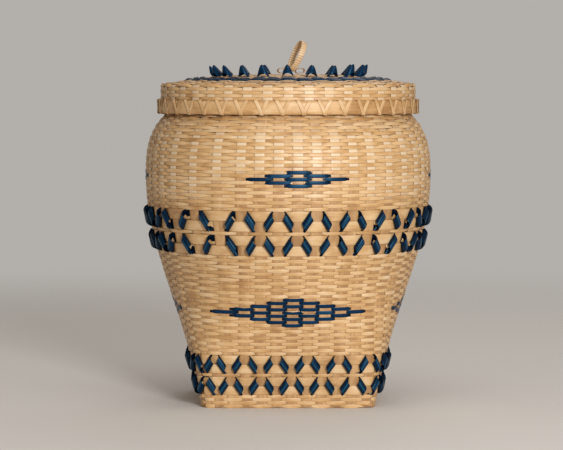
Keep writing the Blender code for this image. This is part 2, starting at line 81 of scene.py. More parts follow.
# Places that the frame gives
FOOT_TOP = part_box("foot_wall")[1].z
BELLY_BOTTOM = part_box("belly_wall")[0].z
BELLY_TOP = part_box("belly_wall")[1].z
SHOULDER_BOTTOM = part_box("shoulder_wall")[0].z
RIM_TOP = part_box("shoulder_wall")[1].z
LID_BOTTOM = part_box("lid_wall")[0].z
LID_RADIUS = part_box("lid_wall")[1].x
LID_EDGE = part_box("lid_wall")[1].z
LID_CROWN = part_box("lid_top")[1].z
LID_HOOP_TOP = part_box("lid_outer_hoop")[1].z
DYED_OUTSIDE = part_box("lid_dyed_weaver")[1].x
HINGE = next(joint for joint in frame["joints"] if joint["name"] == "handle_tilt")
PIVOT = np.array(HINGE["pos_m"], float)
HINGE_AXIS = np.array(HINGE["axis"], float)
CAD_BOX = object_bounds()

EVEN, ODD = 0, 1
UP = np.array((0.0, 0.0, 1.0))
FLAT = np.array((1.0, 1.0, 0.0))    # times a place, the place on the ground under it

# Section of a splint: share of its half width, and of its thickness
FACE = ((-1.0, 0.02), (-0.88, 0.40), (-0.45, 0.56), (0.45, 0.56), (0.88, 0.40), (1.0, 0.02))
BACK = ((0.90, -0.46), (-0.90, -0.46))
SECTION = np.array(FACE + BACK)
SHARP_ANGLE = math.radians(60.0)    # between faces that are shaded apart
GRAIN_SPAN = 40.0               # over which the splints' own places in the grain are spread

# Steps on a surface
COLUMN_STEP = 0.01              # to each side, for the direction along a row
WALL_STEP = 0.0008              # up and down, for the direction up the wall
LID_STEP = 0.0003               # the same on the lid
ROW_STEPS = 8                   # stations of a weaver from one upright to the next
WIDENING = 2.4                  # how fast a weaver widens on its way out over an upright

# How much chance and wandering change a weaver
LIFT_SPREAD = 0.10
TILT_SPREAD = 0.05
TONE_SPREAD = 0.07              # from weaver to weaver
FLOAT_SPREAD = 0.06             # from upright to upright
TONE_WANDER = 0.05

# Half width of a weaver as a share of its row
PLAIN_FILL = 0.496
WIDE_FILL = 0.490
THIN_FILL = 0.46
LID_FILL = 0.49
DIAMOND_FILL = 0.54

# How the wall's columns are moved: places in columns from the middle of the front, and heights
# where it sets in, each with the height that it takes
LEFT_CORNER = (-5.9, -2.8)
LEFT_RISE = (0.035, 0.055)
RIGHT_CORNER = (4.3, 7.5)
RIGHT_RISE = (0.100, 0.060)
DRIFT_FADE = (4.0, 6.0)
DRIFT_END = (0.060, 0.100)

# Uprights and floor
FIRST_ROW = 0.0004              # lower edge of the lowest weaver
FLOOR_LEVEL = 0.00090           # of the plaited floor's middle
FLOOR_SWING = 0.00050
FLOOR_BEND = 0.0016             # radius from the floor into the wall
FLOOR_STEPS = 4                 # stations of the floor for each splint that it crosses
FLOOR_SPREAD = 0.32             # how much wider a splint is under the basket
SWELL_HEIGHT = 0.15             # where an upright has its full width
SLIMMING = (0.175, 0.030)       # from where it gets slimmer again, and over what height
SLIMMED = 0.12
RIPPLE = 0.03                   # share by which its width ripples
RIPPLE_RATE = 60.0
UPRIGHT_SPACE = 0.76            # largest share of a space that it takes
# An upright's face is painted paler up the shoulder: a painted sheen standing in for the lamps' reflection,
# not the splint's own colour
SHEEN_START = 0.200             # height where its painted sheen begins in the middle of the front
SHEEN_DROP = 0.022              # how much lower it begins beside that
SHEEN_BESIDE = (3.0, 1.5)       # columns from the middle over which it drops
SHEEN_RISE = 0.018              # height over which the painted sheen comes in
SHEEN_END = (0.236, 0.012)      # from where the painted sheen fades again, and over what height
SHEEN_LOSS = 0.75

# Curls and diamonds
CURL_STATIONS = 27
CURL_SEAT = -0.00028            # of the dyed splint behind an upright, from the wall's middle
DIAMOND_SPACES = np.linspace(-0.84, 0.84, 15)       # stations of one dyed float
DIAMOND_CLEAR = 0.00026         # from a weaver to the float that lies on it
DYED_THICKNESS = 0.00028

# Hoops and lashing, first the thickness that the hoops have in the frame
HOOP_THICKNESS = {"rim_outer_hoop": 0.0015, "rim_inner_hoop": 0.0015,
                  "lid_outer_hoop": 0.0017, "lid_inner_hoop": 0.0017}
HOOP_SHARE = 0.94               # of that thickness that the splint has
HOOP_OVERLAP = 0.30             # of its ends, as an angle
HOOP_STATIONS = 181
HOOP_END = 0.20                 # share of its thickness at its tips
HOOP_WANDER = 0.00012
HOOP_SHADE = 0.25               # how much darker a hoop begins
LASH_CLEAR = 0.00024            # from a hoop to the middle of the strand on it
STRAND_THICKNESS = 0.00034
# One turn of a strand: place across the hoops, height, and share of the lean outside and inside
LASH_TURN = np.array((
    (1.0, -0.90, 0.00, 0.00), (1.0, -0.50, 0.16, 0.00), (1.0, 0.0, 0.44, 0.00),
    (1.0, 0.5, 0.74, 0.00), (1.0, 0.90, 1.0, 0.00), (0.72, 1.0, 1.0, 0.00),
    (-0.72, 1.0, 1.0, 0.20), (-1.0, 0.90, 1.0, 0.30), (-1.0, 0.0, 1.0, 0.50),
    (-1.0, -0.90, 1.0, 0.70), (-0.72, -1.0, 1.0, 0.80), (0.72, -1.0, 1.0, 0.95)))

# Lid
LID_WEAVE = 0.0024              # thickness that the lid's weave has in the frame
LID_HEART = 0.012               # radius inside which only the crossing uprights lie
LID_SPLIT = 0.045               # radius where every other lid upright ends
LID_GIVE = 0.00014              # how far a lid upright is pushed by each weaver
LID_STACK = 0.00016             # from one crossing upright to the next in the lid's heart
LID_UPRIGHT_THICKNESS = 0.00045
LID_UPRIGHT_HALF = (0.0017, 0.0045)     # least and most
LID_UPRIGHT_SHARE = 0.29        # half width as a share of the space between
LID_STATIONS = 110
LID_WEAVER_THICKNESS = 0.00042
LID_WANDER = 0.00008
HIDDEN_ROWS = 4                 # weavers behind the lid's hoops
CORNER_DROP = 0.0010            # from the side's upper edge down to where it starts to bend in
CORNER_WIDTH = 0.0014
CORNER_RISE = 0.0008            # of the bend above the side's upper edge
CORNER_STEPS = 10
TOP_STEPS = 60
DYED_INSIDE = 0.0800
HOOD_SIDES = 24
HOOD_SHARES = (0.0, 0.15, 0.30, 0.45, 0.60, 0.74, 0.86, 0.94, 0.985)    # of a hood's height
HOOD_LEAN = 0.0042              # of a hood's point, outward
HOOD_THICKNESS = 0.00030
HOOD_ARCH = 0.34                # rise of its foot before and behind, as a share of its height
HOOD_TAPER = 0.70
HOOD_DEPTH = 0.74               # share of its width that it is deep
HOOD_GRAIN = 0.012              # width of the splint that a hood is bent from
LINK_STATIONS = 9               # of the short dyed splint under a hood's foot
LINK_REACH = 0.74               # of it to each side of the hood, in columns
LINK_RISE = 0.0007
LINK_HALF = 0.0026

# Handle
RING_STATIONS = 96
CORE_INSET = 0.00045            # from the wrapped band's edge to the band inside
CORE_THINNING = 0.0008
RING_NARROWING = 0.16           # of the ring at its foot
WRAP_STATIONS = 16              # in each turn of the wrapping
WRAP_ROUNDING = 0.55            # power that takes a turn round the band's edges
WRAP_FILL = 0.48                # half width of a turn as a share of its spacing
WRAP_SINK = 0.0002              # from the wrapped band's outside to the middle of the wrapping
STRAP_STATIONS = 90
STRAP_HALF = 0.0024
STRAP_THICKNESS = 0.0005
STRAP_SINK = 0.0003             # from the strap's box to its middle
# One loop of the strap: out from its arch, and up from its foot
STRAP_LOOP = ((0.0002, 0.0006), (0.0014, 0.0), (0.0060, 0.0), (0.0082, 0.0010),
              (0.0088, 0.0026), (0.0074, 0.0042), (0.0040, 0.0046), (0.0008, 0.0034))

# Stage
FLOOR_RADIUS = 3.0
FLOOR_SIDES = 64
FLOOR_FADE = (0.7, 1.7)         # distances between which the floor fades out
AIR_COLOUR = (1.0, 0.90, 0.79)
AIR_STRENGTH = 0.27
# Lamp: name, place, size, power, colour
LAMPS = (
    ("key_lamp", (0.66, -2.31, 0.64), (0.50, 0.45), 43.5, (1.0, 0.98, 0.95)),
    ("top_lamp", (0.10, -0.55, 1.70), (1.2, 0.9), 4.5, (1.0, 0.98, 0.95)),
    ("back_lamp", (0.3, 1.3, 1.6), (1.0, 0.6), 5.0, (1.0, 1.0, 1.0)),
)

# Stretch of the grain's noise along a splint, across it, and from one splint to the next
ASH_PATCHES = (55.0, 120.0, 7.0)
ASH_STREAKS = (45.0, 2600.0, 13.0)
ASH_FIBRES = (160.0, 9000.0, 29.0)
ASH_PORES = (120.0, 5200.0, 3.0)
DYED_STREAKS = (60.0, 1900.0, 13.0)
DYED_FIBRES = (200.0, 8000.0, 29.0)


def smooth(share):
    """Ease from 0 to 1 with level ends."""
    held = np.clip(share, 0.0, 1.0)
    return held * held * (3.0 - 2.0 * held)


def ramp(values, start, length):
    """Ease from 0 at start to 1 a length further on."""
    return smooth((values - start) / length)


def unit(vectors):
    """Rows of vectors at length 1."""
    return vectors / np.linalg.norm(vectors, axis=-1, keepdims=True)


def rows_of(vector, count):
    """One vector repeated as rows."""
    return np.repeat(np.asarray(vector, float)[None, :], count, axis=0)


def round_axis(angles, radii=1.0, levels=0.0):
    """Points round the basket's axis."""
    angles, radii, levels = np.broadcast_arrays(np.asarray(angles, float), radii, levels)
    return np.stack((radii * np.cos(angles), radii * np.sin(angles), levels), axis=-1)


def run_along(points):
    """Distance along a path to each of its points."""
    return np.concatenate(([0.0], np.cumsum(np.linalg.norm(np.diff(points, axis=0), axis=1))))


def at_uprights(columns, values):
    """Values that are given at the uprights, at any column."""
    return np.interp(columns, np.arange(len(values)) + 0.5, values, period=len(values))


# Sizes and colours that a user would change, and what makes a property of each kind

def metres(label, about, default):
    return FloatProperty(name=label, description=about, default=default, unit="LENGTH")


def fraction(label, about, default):
    return FloatProperty(name=label, description=about, default=default, subtype="FACTOR")


def degrees(label, about, default):
    return FloatProperty(name=label, description=about, default=math.radians(default), subtype="ANGLE")


def bare(label, about, default):
    return FloatProperty(name=label, description=about, default=default)


def whole(label, about, default):
    return IntProperty(name=label, description=about, default=default, min=1)


def swatch(label, about, default):
    return FloatVectorProperty(name=label, description=about, default=default, size=3, subtype="COLOR")


class BodySizes(bpy.types.PropertyGroup):
    """Outline of the basket's wall and the splints in it."""

    uprights_per_face: whole("Uprights per face", "Upright splints on each side of the square foot", 12)
    upright_width: metres("Upright width", "Width of an upright splint", 0.0092)
    upright_swell: fraction("Upright swell", "How much wider an upright is at the upper band", 0.15)
    upright_thickness: metres("Upright thickness", "Thickness of an upright splint", 0.00050)
    foot_half_width: metres("Foot half width", "From the axis to the wall at the foot", 0.0763)
    foot_flare: bare("Foot flare", "Lean of the wall at the foot, as a slope", 0.1625)
    foot_corner_power: bare("Foot corner power", "How square the foot is", 12.0)
    shoulder_half_width: metres("Shoulder half width", "From the axis to the wall at its widest", 0.1273)
    shoulder_height: metres("Shoulder height", "Height of the widest part", 0.200)
    shoulder_bend: bare("Shoulder bend", "How late the shoulder turns in to the lid", 3.2)
    collar_half_width: metres("Collar half width", "From the axis to the wall under the lid's edge", 0.1085)
    neck_half_width: metres("Neck half width", "From the axis to the wall inside the lid", 0.1058)
    collar_length: metres("Collar length", "Height over which the collar narrows to the neck", 0.0044)
    round_height: metres("Round height", "Height where the square section has become round", 0.125)
    left_spread: bare("Left spread", "Columns that the left corner's uprights stand apart", 1.65)
    right_spread: bare("Right spread", "Columns that the right corner's uprights stand apart", 0.75)
    foot_drift: bare("Foot drift", "Columns that the front uprights stand to the left low down", 0.27)


class WeaveSizes(bpy.types.PropertyGroup):
    """Weavers and curls of the body."""

    foot_rows: whole("Foot rows", "Weavers below the lower band", 4)
    belly_rows: whole("Belly rows", "Weavers between the two bands of curls", 31)
    shoulder_row: metres("Shoulder weaver", "Width of a weaver above the upper band", 0.00304)
    weaver_thickness: metres("Weaver thickness", "Thickness of a narrow weaver", 0.00045)
    weaver_lift: metres("Weaver lift", "How far a weaver swings to each side of the uprights", 0.00054)
    weaver_wander: metres("Weaver wander", "How far a weaver strays from its level", 0.00012)
    upright_give: metres("Upright give", "How far an upright is pushed by each weaver", 0.00014)
    wide_lift: metres("Wide weaver lift", "Swing of a wide weaver in the bands of curls", 0.00070)
    curl_step: metres("Curl step", "Half of how far a curl takes the splint to the side", 0.0024)
    curl_slant: degrees("Curl slant", "Slant of the axis that a curl is rolled on, from upright", 34.0)
    curl_reach: metres("Curl reach", "Half the width of a curl across its own axis", 0.0030)
    curl_depth: metres("Curl depth", "Half of how far a curl stands out", 0.0027)
    curl_thickness: metres("Curl thickness", "Thickness of the dyed splint", 0.00030)


class LidSizes(bpy.types.PropertyGroup):
    """Weaving, hoops and ornament of the lid."""

    uprights: whole("Lid uprights", "Splints that fold down round the lid's edge", 40)
    turn: degrees("Lid turn", "Turn of the first upright from the front", 0.0)
    side_rows: whole("Side rows", "Weavers on the lid's side above the hoop", 4)
    crown: metres("Crown", "Rise of the lid's top from its edge to its middle", 0.0091)
    crown_power: bare("Crown power", "How late the lid's top drops to its edge", 3.0)
    edge_inset: metres("Edge inset", "How far the top's edge lies inside the lid's side", 0.002)
    top_row: metres("Top weaver", "Width of a weaver on the lid's top", 0.00315)
    lift: metres("Lid weaver lift", "Swing of the lid's weavers", 0.00056)
    edge_wave: metres("Edge wave", "Swing of the weavers at the lid's edge and of the dyed ones", 0.00115)
    strand: metres("Lashing width", "Width of the lashing splint", 0.0034)
    strand_lean: fraction("Lashing lean", "Share of the step that a strand leans on the hoop", 0.27)
    strand_shift: fraction("Lashing shift", "Share of the step from a space's middle to a strand", 0.23)
    curls: whole("Lid curls", "Pointed curls in the ring on the lid", 20)
    curl_ring: metres("Curl ring radius", "From the axis to the middle of the curls", 0.0665)
    curl_height: metres("Lid curl height", "From the lid to a curl's point", 0.0106)
    curl_half: metres("Lid curl half width", "From a curl's middle to its foot", 0.0056)


class HandleSizes(bpy.types.PropertyGroup):
    """Wrapped ring on top of the lid."""

    length: metres("Ring length", "Outside length of the ring", 0.029)
    width: metres("Ring width", "Outside width of the ring", 0.026)
    band: metres("Band width", "Width of the wrapped band", 0.0054)
    band_thickness: metres("Band thickness", "Thickness of the wrapped band", 0.0018)
    wrap: metres("Wrap spacing", "From one turn of the wrapping to the next", 0.0021)
    lean: degrees("Lean", "Lean of the ring from upright, to the right", 24.0)


class SplintColours(bpy.types.PropertyGroup):
    """Colours of the natural and dyed splints, some of which also stand for painted shade, sheen and
    highlight.
    """

    pale: swatch("Pale splint", "Light streaks of natural ash", (0.86, 0.67, 0.44))
    natural: swatch("Natural splint", "Body colour of natural ash", (0.68, 0.415, 0.18))
    # Also paints the shade along splint edges
    dark: swatch("Dark splint", "Dark streaks of natural ash", (0.37, 0.18, 0.06))
    # Colour that paler splints and the painted sheen on the uprights' faces turn towards
    inner: swatch("Inner splint", "Whitish satin face of the uprights", (0.82, 0.65, 0.45))
    dyed: swatch("Dyed splint", "Blue dyed ash", (0.004, 0.036, 0.104))
    # Also paints the shade along splint edges and at the dark ends of curls and dyed floats
    dyed_dark: swatch("Dyed edge", "Dark streaks and edges of the dyed ash", (0.0008, 0.003, 0.012))
    # Colour of rubbed folds, and of the painted highlight along a curl's ridge
    dyed_worn_highlight: swatch("Worn dyed splint", "Dyed ash where a fold has rubbed it", (0.028, 0.150, 0.250))


class StageSizes(bpy.types.PropertyGroup):
    """Camera, floor and backdrop."""

    camera_distance: metres("Camera distance", "From the basket's axis to the camera", 2.43)
    camera_height: metres("Camera height", "Above the surface that the basket stands on", 0.294)
    camera_pitch: degrees("Camera pitch", "How far the camera looks down", 3.24)
    camera_slide: metres("Camera slide", "How far the camera stands to the right of the axis", -0.0059)
    focal_pixels: bare("Focal length in pixels", "Focal length for a picture 563 pixels wide", 2700.0)
    floor_colour: swatch("Floor colour", "Pale studio floor", (0.80, 0.78, 0.76))
    backdrop_colour: swatch("Backdrop colour", "What the camera sees behind the floor", (0.45, 0.43, 0.405))


# Shader arithmetic

class Flow:
    """A shader socket that takes part in Python arithmetic."""

    def __init__(self, paint, socket):
        self.paint = paint
        self.socket = socket

    def math(self, operation, *values):
        return self.paint.node("ShaderNodeMath", {"operation": operation}, dict(enumerate(values)))

    def __add__(self, other):
        return self.math("ADD", self, other)

    __radd__ = __add__

    def __mul__(self, other):
        return self.math("MULTIPLY", self, other)

    __rmul__ = __mul__

    def __sub__(self, other):
        return self.math("SUBTRACT", self, other)

    def __rsub__(self, other):
        return self.math("SUBTRACT", other, self)

    def held(self):
        """Kept between 0 and 1."""
        return self.paint.node("ShaderNodeClamp", {}, {0: self})

    def between(self, low, high):
        """0 at low, 1 at high, eased."""
        settings = {"interpolation_type": "SMOOTHSTEP"}
        return self.paint.node("ShaderNodeMapRange", settings, {0: self, 1: low, 2: high})


class Paint:
    """The nodes of one material or world, and the shader that it starts with."""

    def __init__(self, owner, shader="Principled BSDF"):
        self.owner = owner
        owner.use_nodes = True
        self.tree = owner.node_tree
        self.shader = self.tree.nodes[shader]

    def node(self, kind, settings, inputs, output=0):
        """Adds a node: its settings first, then the values or links of its sockets."""
        made = self.tree.nodes.new(kind)
        for name, value in settings.items():
            setattr(made, name, value)
        for name, value in inputs.items():
            self.feed(made.inputs[name], value)
        return Flow(self, made.outputs[output])

    def feed(self, socket, value):
        """Links a flow to a socket, or sets the socket's value."""
        if isinstance(value, Flow):
            self.tree.links.new(value.socket, socket)
        elif socket.type == "RGBA":
            socket.default_value = (*value, 1.0)
        else:
            socket.default_value = value

    def mix(self, share, first, second):
        """Colour between first and second, by the numbers that a Mix node's colour sockets have."""
        return self.node("ShaderNodeMix", {"data_type": "RGBA"}, {0: share, 6: first, 7: second}, 2)

    def attribute(self, name, output="Fac"):
        return self.node("ShaderNodeAttribute", {"attribute_name": name}, {}, output)

    def noise(self, vector, scale, detail, roughness=0.5):
        inputs = {"Vector": vector, "Scale": scale, "Detail": detail, "Roughness": roughness}
        return self.node("ShaderNodeTexNoise", {}, inputs)

    def grain(self, stretch, detail, roughness=0.6):
        """Noise that follows the splint, stretched part by part."""
        places = {0: self.attribute("grain", "Vector"), 1: stretch}
        stretched = self.node("ShaderNodeVectorMath", {"operation": "MULTIPLY"}, places)
        return self.noise(stretched, 1.0, detail, roughness)

    def bump(self, height, distance):
        return self.node("ShaderNodeBump", {}, {"Height": height, "Distance": distance, "Strength": 1.0})

    def finish(self, **sockets):
        """Sets the shader's sockets, with _ for a space in their names."""
        for name, value in sockets.items():
            self.feed(self.shader.inputs[name.replace("_", " ")], value)
        return self.owner


def ash_finish(name, colours, whiteness=0.0, warmth=0.0, roughness=0.42, pores=1.0):
    """Split ash: streaks along the splint, pores, painted shade darkening its edges where rows meet, a paler
    painted sheen where asked, and a soft sheen.
    """
    paint = Paint(bpy.data.materials.new(name))
    patches = paint.grain(ASH_PATCHES, 2.0, 0.5)
    streaks = paint.grain(ASH_STREAKS, 3.0)
    fibres = paint.grain(ASH_FIBRES, 2.0)
    lines = paint.grain(ASH_PORES, 4.0, 0.7)
    depth = paint.attribute("tone") * 0.70 + patches * 0.95 + streaks * 0.55
    depth = (depth - (0.68 + warmth)).held()
    wood = paint.mix(depth.between(0.0, 0.55), colours.dark, colours.natural)
    wood = paint.mix(depth.between(0.35, 1.0), wood, colours.pale)
    # Paler towards the inner colour: the painted sheen on the uprights, plus the finish's constant whiteness
    wood = paint.mix((paint.attribute("white") + whiteness).held(), wood, colours.inner)
    pore = lines.between(0.60, 0.74) * (0.32 * pores)
    wood = paint.mix(pore, wood, colours.dark)
    # Painted shade: darker along the splint's edges, in the crevices between rows
    wood = paint.mix(paint.attribute("edge").between(0.80, 1.0) * 0.75, wood, colours.dark)
    rough = (fibres * 0.22 + pore * 0.3 + (roughness - 0.11)).held()
    relief = paint.bump(fibres * 0.6 + lines * 0.4, 0.00006)
    return paint.finish(Base_Color=wood, Roughness=rough, Normal=relief, Specular_IOR_Level=0.6)


def dyed_finish(name, colours):
    """Blue dyed ash with darker streaks, painted shade along its edges and at dark ends, folds worn and
    painted with a highlight along the ridge, and a satin face.
    """
    paint = Paint(bpy.data.materials.new(name))
    tone = paint.attribute("tone")
    streaks = paint.grain(DYED_STREAKS, 3.0)
    fibres = paint.grain(DYED_FIBRES, 2.0)
    depth = (tone * 1.1 + streaks * 0.6 - 0.36).held()
    # Dark where tone is low: real streaks, and painted shade at the ends of curls and dyed floats
    dye = paint.mix(depth, colours.dyed_dark, colours.dyed)
    # Painted highlight along a curl's ridge where tone peaks, broken by streaks like wear
    worn_highlight = tone.between(0.62, 0.98) * streaks.between(0.25, 0.60)
    dye = paint.mix((fibres.between(0.58, 0.78) * 0.25 + worn_highlight * 0.8).held(), dye, colours.dyed_worn_highlight)
    # Painted shade along the splint's edges
    dye = paint.mix(paint.attribute("edge").between(0.75, 1.0) * 0.6, dye, colours.dyed_dark)
    rough = (fibres * 0.25 + 0.22).held()
    relief = paint.bump(fibres * 0.5 + streaks * 0.5, 0.00008)
    return paint.finish(Base_Color=dye, Roughness=rough, Normal=relief, Specular_IOR_Level=0.34,
                        Specular_Tint=(0.22, 0.60, 0.95))


FINISHES = {
    "ash_upright": (ash_finish, {"whiteness": 0.06}),
    "ash_weaver": (ash_finish, {}),
    "ash_wide": (ash_finish, {"whiteness": 0.05, "warmth": -0.08, "pores": 0.8}),
    "ash_hoop": (ash_finish, {"warmth": 0.02, "roughness": 0.45, "pores": 1.3}),
    "ash_lashing": (ash_finish, {"whiteness": 0.05}),
    "ash_dyed": (dyed_finish, {}),
}


# Splints

class Splints:
    """Splints gathered into one mesh, each with its own grain."""

    def __init__(self, seed):
        self.random = np.random.default_rng(seed)
        self.points = []
        self.faces = []
        # The paler attribute holds a splint's own paleness and the painted sheen on the uprights' faces
        self.values = {"grain": [], "tone": [], "white": [], "edge": []}
        self.count = 0

    def gather(self, points, run, aside, tone, white, edge):
        """Keeps rings of points with their values, and gives the numbers of the points."""
        own = self.random.uniform(0.0, GRAIN_SPAN)
        grain = np.empty(points.shape)
        grain[:, :, 0] = run + own
        grain[:, :, 1] = aside
        grain[:, :, 2] = own
        self.points.append(points.reshape(-1, 3))
        self.values["grain"].append(grain.reshape(-1, 3))
        for name, value in (("tone", tone), ("white", white), ("edge", edge)):
            self.values[name].append(np.broadcast_to(value, points.shape[:2]).ravel())
        first = self.count
        self.count += points.shape[0] * points.shape[1]
        return np.arange(first, self.count).reshape(points.shape[:2])

    def add(self, middles, sides, half_widths, thickness, fronts=None, closed=False, tone=0.5, white=0.0):
        """One splint along middles, its width along sides and its face towards fronts."""
        stations = len(middles)
        steps = np.roll(middles, -1, axis=0) - np.roll(middles, 1, axis=0)
        if not closed:
            steps = np.gradient(middles, axis=0)
        faced = np.cross(steps, sides)
        if fronts is None:
            fronts = unit(faced)
        elif (faced * fronts).sum() < 0.0:
            sides = -sides
        half_widths, thickness, tone, white = (
            np.broadcast_to(value, stations)[:, None] for value in (half_widths, thickness, tone, white))
        aside = half_widths * SECTION[:, 0]
        across = sides[:, None] * aside[:, :, None]
        through = fronts[:, None] * (thickness * SECTION[:, 1])[:, :, None]
        points = middles[:, None] + across + through
        numbers = self.gather(points, run_along(middles)[:, None], aside, tone, white, np.abs(SECTION[:, 0]))
        last = stations if closed else stations - 1
        here = numbers[:last]
        after = np.roll(numbers, -1, axis=0)[:last]
        quads = np.stack((here, after, np.roll(after, -1, axis=1), np.roll(here, -1, axis=1)), axis=2)
        self.faces.extend(quads.reshape(-1, 4).tolist())
        if not closed:
            self.faces.append(numbers[0].tolist())
            self.faces.append(numbers[-1][::-1].tolist())

    def add_hood(self, rings, thickness):
        """A hood with an open foot: its outer face, the inner one, and the edge between."""
        levels, sides = rings.shape[:2]
        across = np.roll(rings, -1, axis=1) - np.roll(rings, 1, axis=1)
        outward = unit(np.cross(across, np.gradient(rings, axis=0)))
        both = np.concatenate((rings, rings - outward * thickness))
        # Painted shade at the hood's open foot against the lid, through the edge darkening
        edge = np.tile(np.linspace(0.9, 0.0, levels), 2)[:, None]
        numbers = self.gather(both, both[:, :, 2], np.arange(sides) / sides * HOOD_GRAIN, 0.5, 0.0, edge)
        outer, inner = numbers[:levels], numbers[levels:]
        for lower, upper in [*zip(outer, outer[1:]), *zip(inner[1:], inner), (inner[0], outer[0])]:
            quads = np.stack((lower, np.roll(lower, -1), np.roll(upper, -1), upper), axis=1)
            self.faces.extend(quads.tolist())
        self.faces.append(outer[-1].tolist())
        self.faces.append(inner[-1][::-1].tolist())

    def make(self, name, body, material, slot, *nodes):
        """The finished piece, on its body and in place of the CAD nodes it stands for."""
        mesh = bpy.data.meshes.new(name)
        mesh.from_pydata(np.concatenate(self.points), [], self.faces)
        for label, parts in self.values.items():
            kind, field = ("FLOAT_VECTOR", "vector") if label == "grain" else ("FLOAT", "value")
            values = np.concatenate(parts).ravel().astype(np.float32)
            mesh.attributes.new(label, kind, "POINT").data.foreach_set(field, values)
        mesh.shade_smooth()
        mesh.set_sharp_from_angle(angle=SHARP_ANGLE)
        mesh.materials.append(material)
        piece = bpy.data.objects.new(name, mesh)
        bpy.context.scene.collection.objects.link(piece)
        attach(piece, body)
        if nodes:
            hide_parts(*nodes)


# Surfaces that splints are woven on

class Surface:
    """What the wall and the lid share; each has its own section, the points by column and level."""

    def along(self, columns, levels):
        """Direction along the row there."""
        ahead = self.section(np.add(columns, COLUMN_STEP), levels)
        return unit(ahead - self.section(np.subtract(columns, COLUMN_STEP), levels))


class Wall(Surface):
    """Middle of the basket's wall, square at the foot and round at the shoulder."""

    def __init__(self, sizes):
        self.sizes = sizes
        self.count = 4 * sizes.uprights_per_face

    def half_width(self, heights):
        """From the axis to the middle of a face."""
        sizes = self.sizes
        share = np.clip(heights / sizes.shoulder_height, 0.0, 1.0)
        widening = (sizes.shoulder_half_width - sizes.foot_half_width) * smooth(share)
        flare = sizes.foot_flare * sizes.shoulder_height * share * (1.0 - share) ** 2
        turn = np.clip((heights - sizes.shoulder_height) / (LID_BOTTOM - sizes.shoulder_height), 0.0, 1.0)
        narrowing = (sizes.shoulder_half_width - sizes.collar_half_width) * turn ** sizes.shoulder_bend
        collar = np.clip((heights - LID_BOTTOM) / sizes.collar_length, 0.0, 1.0)
        narrowing = narrowing + (sizes.collar_half_width - sizes.neck_half_width) * collar
        return sizes.foot_half_width + widening + flare - narrowing

    def moved(self, columns, heights):
        """Where the columns really stand: wide bays at the front corners, a drift at the foot."""
        sizes = self.sizes
        half = self.count / 2.0
        from_front = self.from_front(columns)
        left = np.interp(from_front, (-half, *LEFT_CORNER), (0.0, -1.0, 0.0))
        right = np.interp(from_front, (*RIGHT_CORNER, half), (0.0, 1.0, 0.0))
        front = np.interp(np.abs(from_front), DRIFT_FADE, (1.0, 0.0))
        left_rise = sizes.left_spread * ramp(heights, *LEFT_RISE)
        right_rise = sizes.right_spread * ramp(heights, *RIGHT_RISE)
        drift = sizes.foot_drift * (1.0 - ramp(heights, *DRIFT_END))
        return columns + left * left_rise + right * right_rise - front * drift

    def from_front(self, columns):
        """Columns from the middle of the front, less than half way round to either side."""
        half = self.count / 2.0
        return (columns - self.sizes.uprights_per_face / 2.0 + half) % self.count - half

    def section(self, columns, heights):
        """Points of the wall's middle."""
        columns, heights = np.broadcast_arrays(np.asarray(columns, float), heights)
        return self.plain(self.moved(columns, heights), heights)

    def plain(self, columns, heights):
        """Points of the wall's middle, with every bay of its face alike."""
        per_face = self.sizes.uprights_per_face
        face = np.floor((columns % self.count) / per_face)
        step = (columns % self.count) - face * per_face
        roundness = smooth(heights / self.sizes.round_height)
        straight = 2.0 * step / per_face - 1.0
        turned = np.tan((step / per_face - 0.5) * math.pi / 2.0)
        across = (1.0 - roundness) * straight + roundness * turned
        power = 2.0 / (roundness + (1.0 - roundness) * 2.0 / self.sizes.foot_corner_power)
        reach = self.half_width(heights) / (np.abs(across) ** power + 1.0) ** (1.0 / power)
        x, y, turn = across * reach, -reach, face * math.pi / 2.0
        return np.stack((x * np.cos(turn) - y * np.sin(turn), x * np.sin(turn) + y * np.cos(turn),
                         heights), axis=-1)

    def directions(self, columns, heights):
        """Along the wall, up it, and out of it."""
        along = self.along(columns, heights)
        low = np.maximum(np.subtract(heights, WALL_STEP), 0.0)
        upward = unit(self.section(columns, low + 2.0 * WALL_STEP) - self.section(columns, low))
        outward = unit(np.cross(along, upward))
        return along, np.cross(outward, along), outward

    def point(self, column, height, offset):
        """One place, an offset out of the wall's middle."""
        return self.section(column, height) + self.directions(column, height)[2] * offset

    def pitch(self, column, heights):
        """From one upright to the next there."""
        heights = np.asarray(heights, float)
        step = self.section(column + 0.5, heights) - self.section(column - 0.5, heights)
        return np.linalg.norm(step, axis=-1)

    def slope(self, level):
        """Share of a splint's width that counts as height there, in the middle of a face."""
        return float(self.directions(self.sizes.uprights_per_face / 2.0, level)[1][2])


class Turned(Surface):
    """A round surface, by its radius and height at each level."""

    def __init__(self, count, turn, radius_at, height_at):
        self.count = count
        self.turn = turn
        self.radius_at = radius_at
        self.height_at = height_at

    def section(self, columns, levels):
        """Points of the surface."""
        columns, levels = np.broadcast_arrays(np.asarray(columns, float), levels)
        angles = self.turn - math.pi / 2.0 + (columns - 0.5) * math.tau / self.count
        return round_axis(angles, self.radius_at(levels), self.height_at(levels))

    def directions(self, columns, levels):
        """Along the circle, up the surface, and out of it."""
        along = self.along(columns, levels)
        above = self.section(columns, np.add(levels, LID_STEP))
        upward = unit(above - self.section(columns, np.subtract(levels, LID_STEP)))
        return along, upward, unit(np.cross(along, upward))


def wander(random, columns, count, size):
    """Slow stray round a ring that closes on itself."""
    stray = np.zeros(len(columns))
    for waves in (2, 5, 9, 17):
        phase = random.uniform(0.0, 6.3)
        stray += np.sin(columns * math.tau * waves / count + phase) / math.sqrt(waves)
    return stray * size


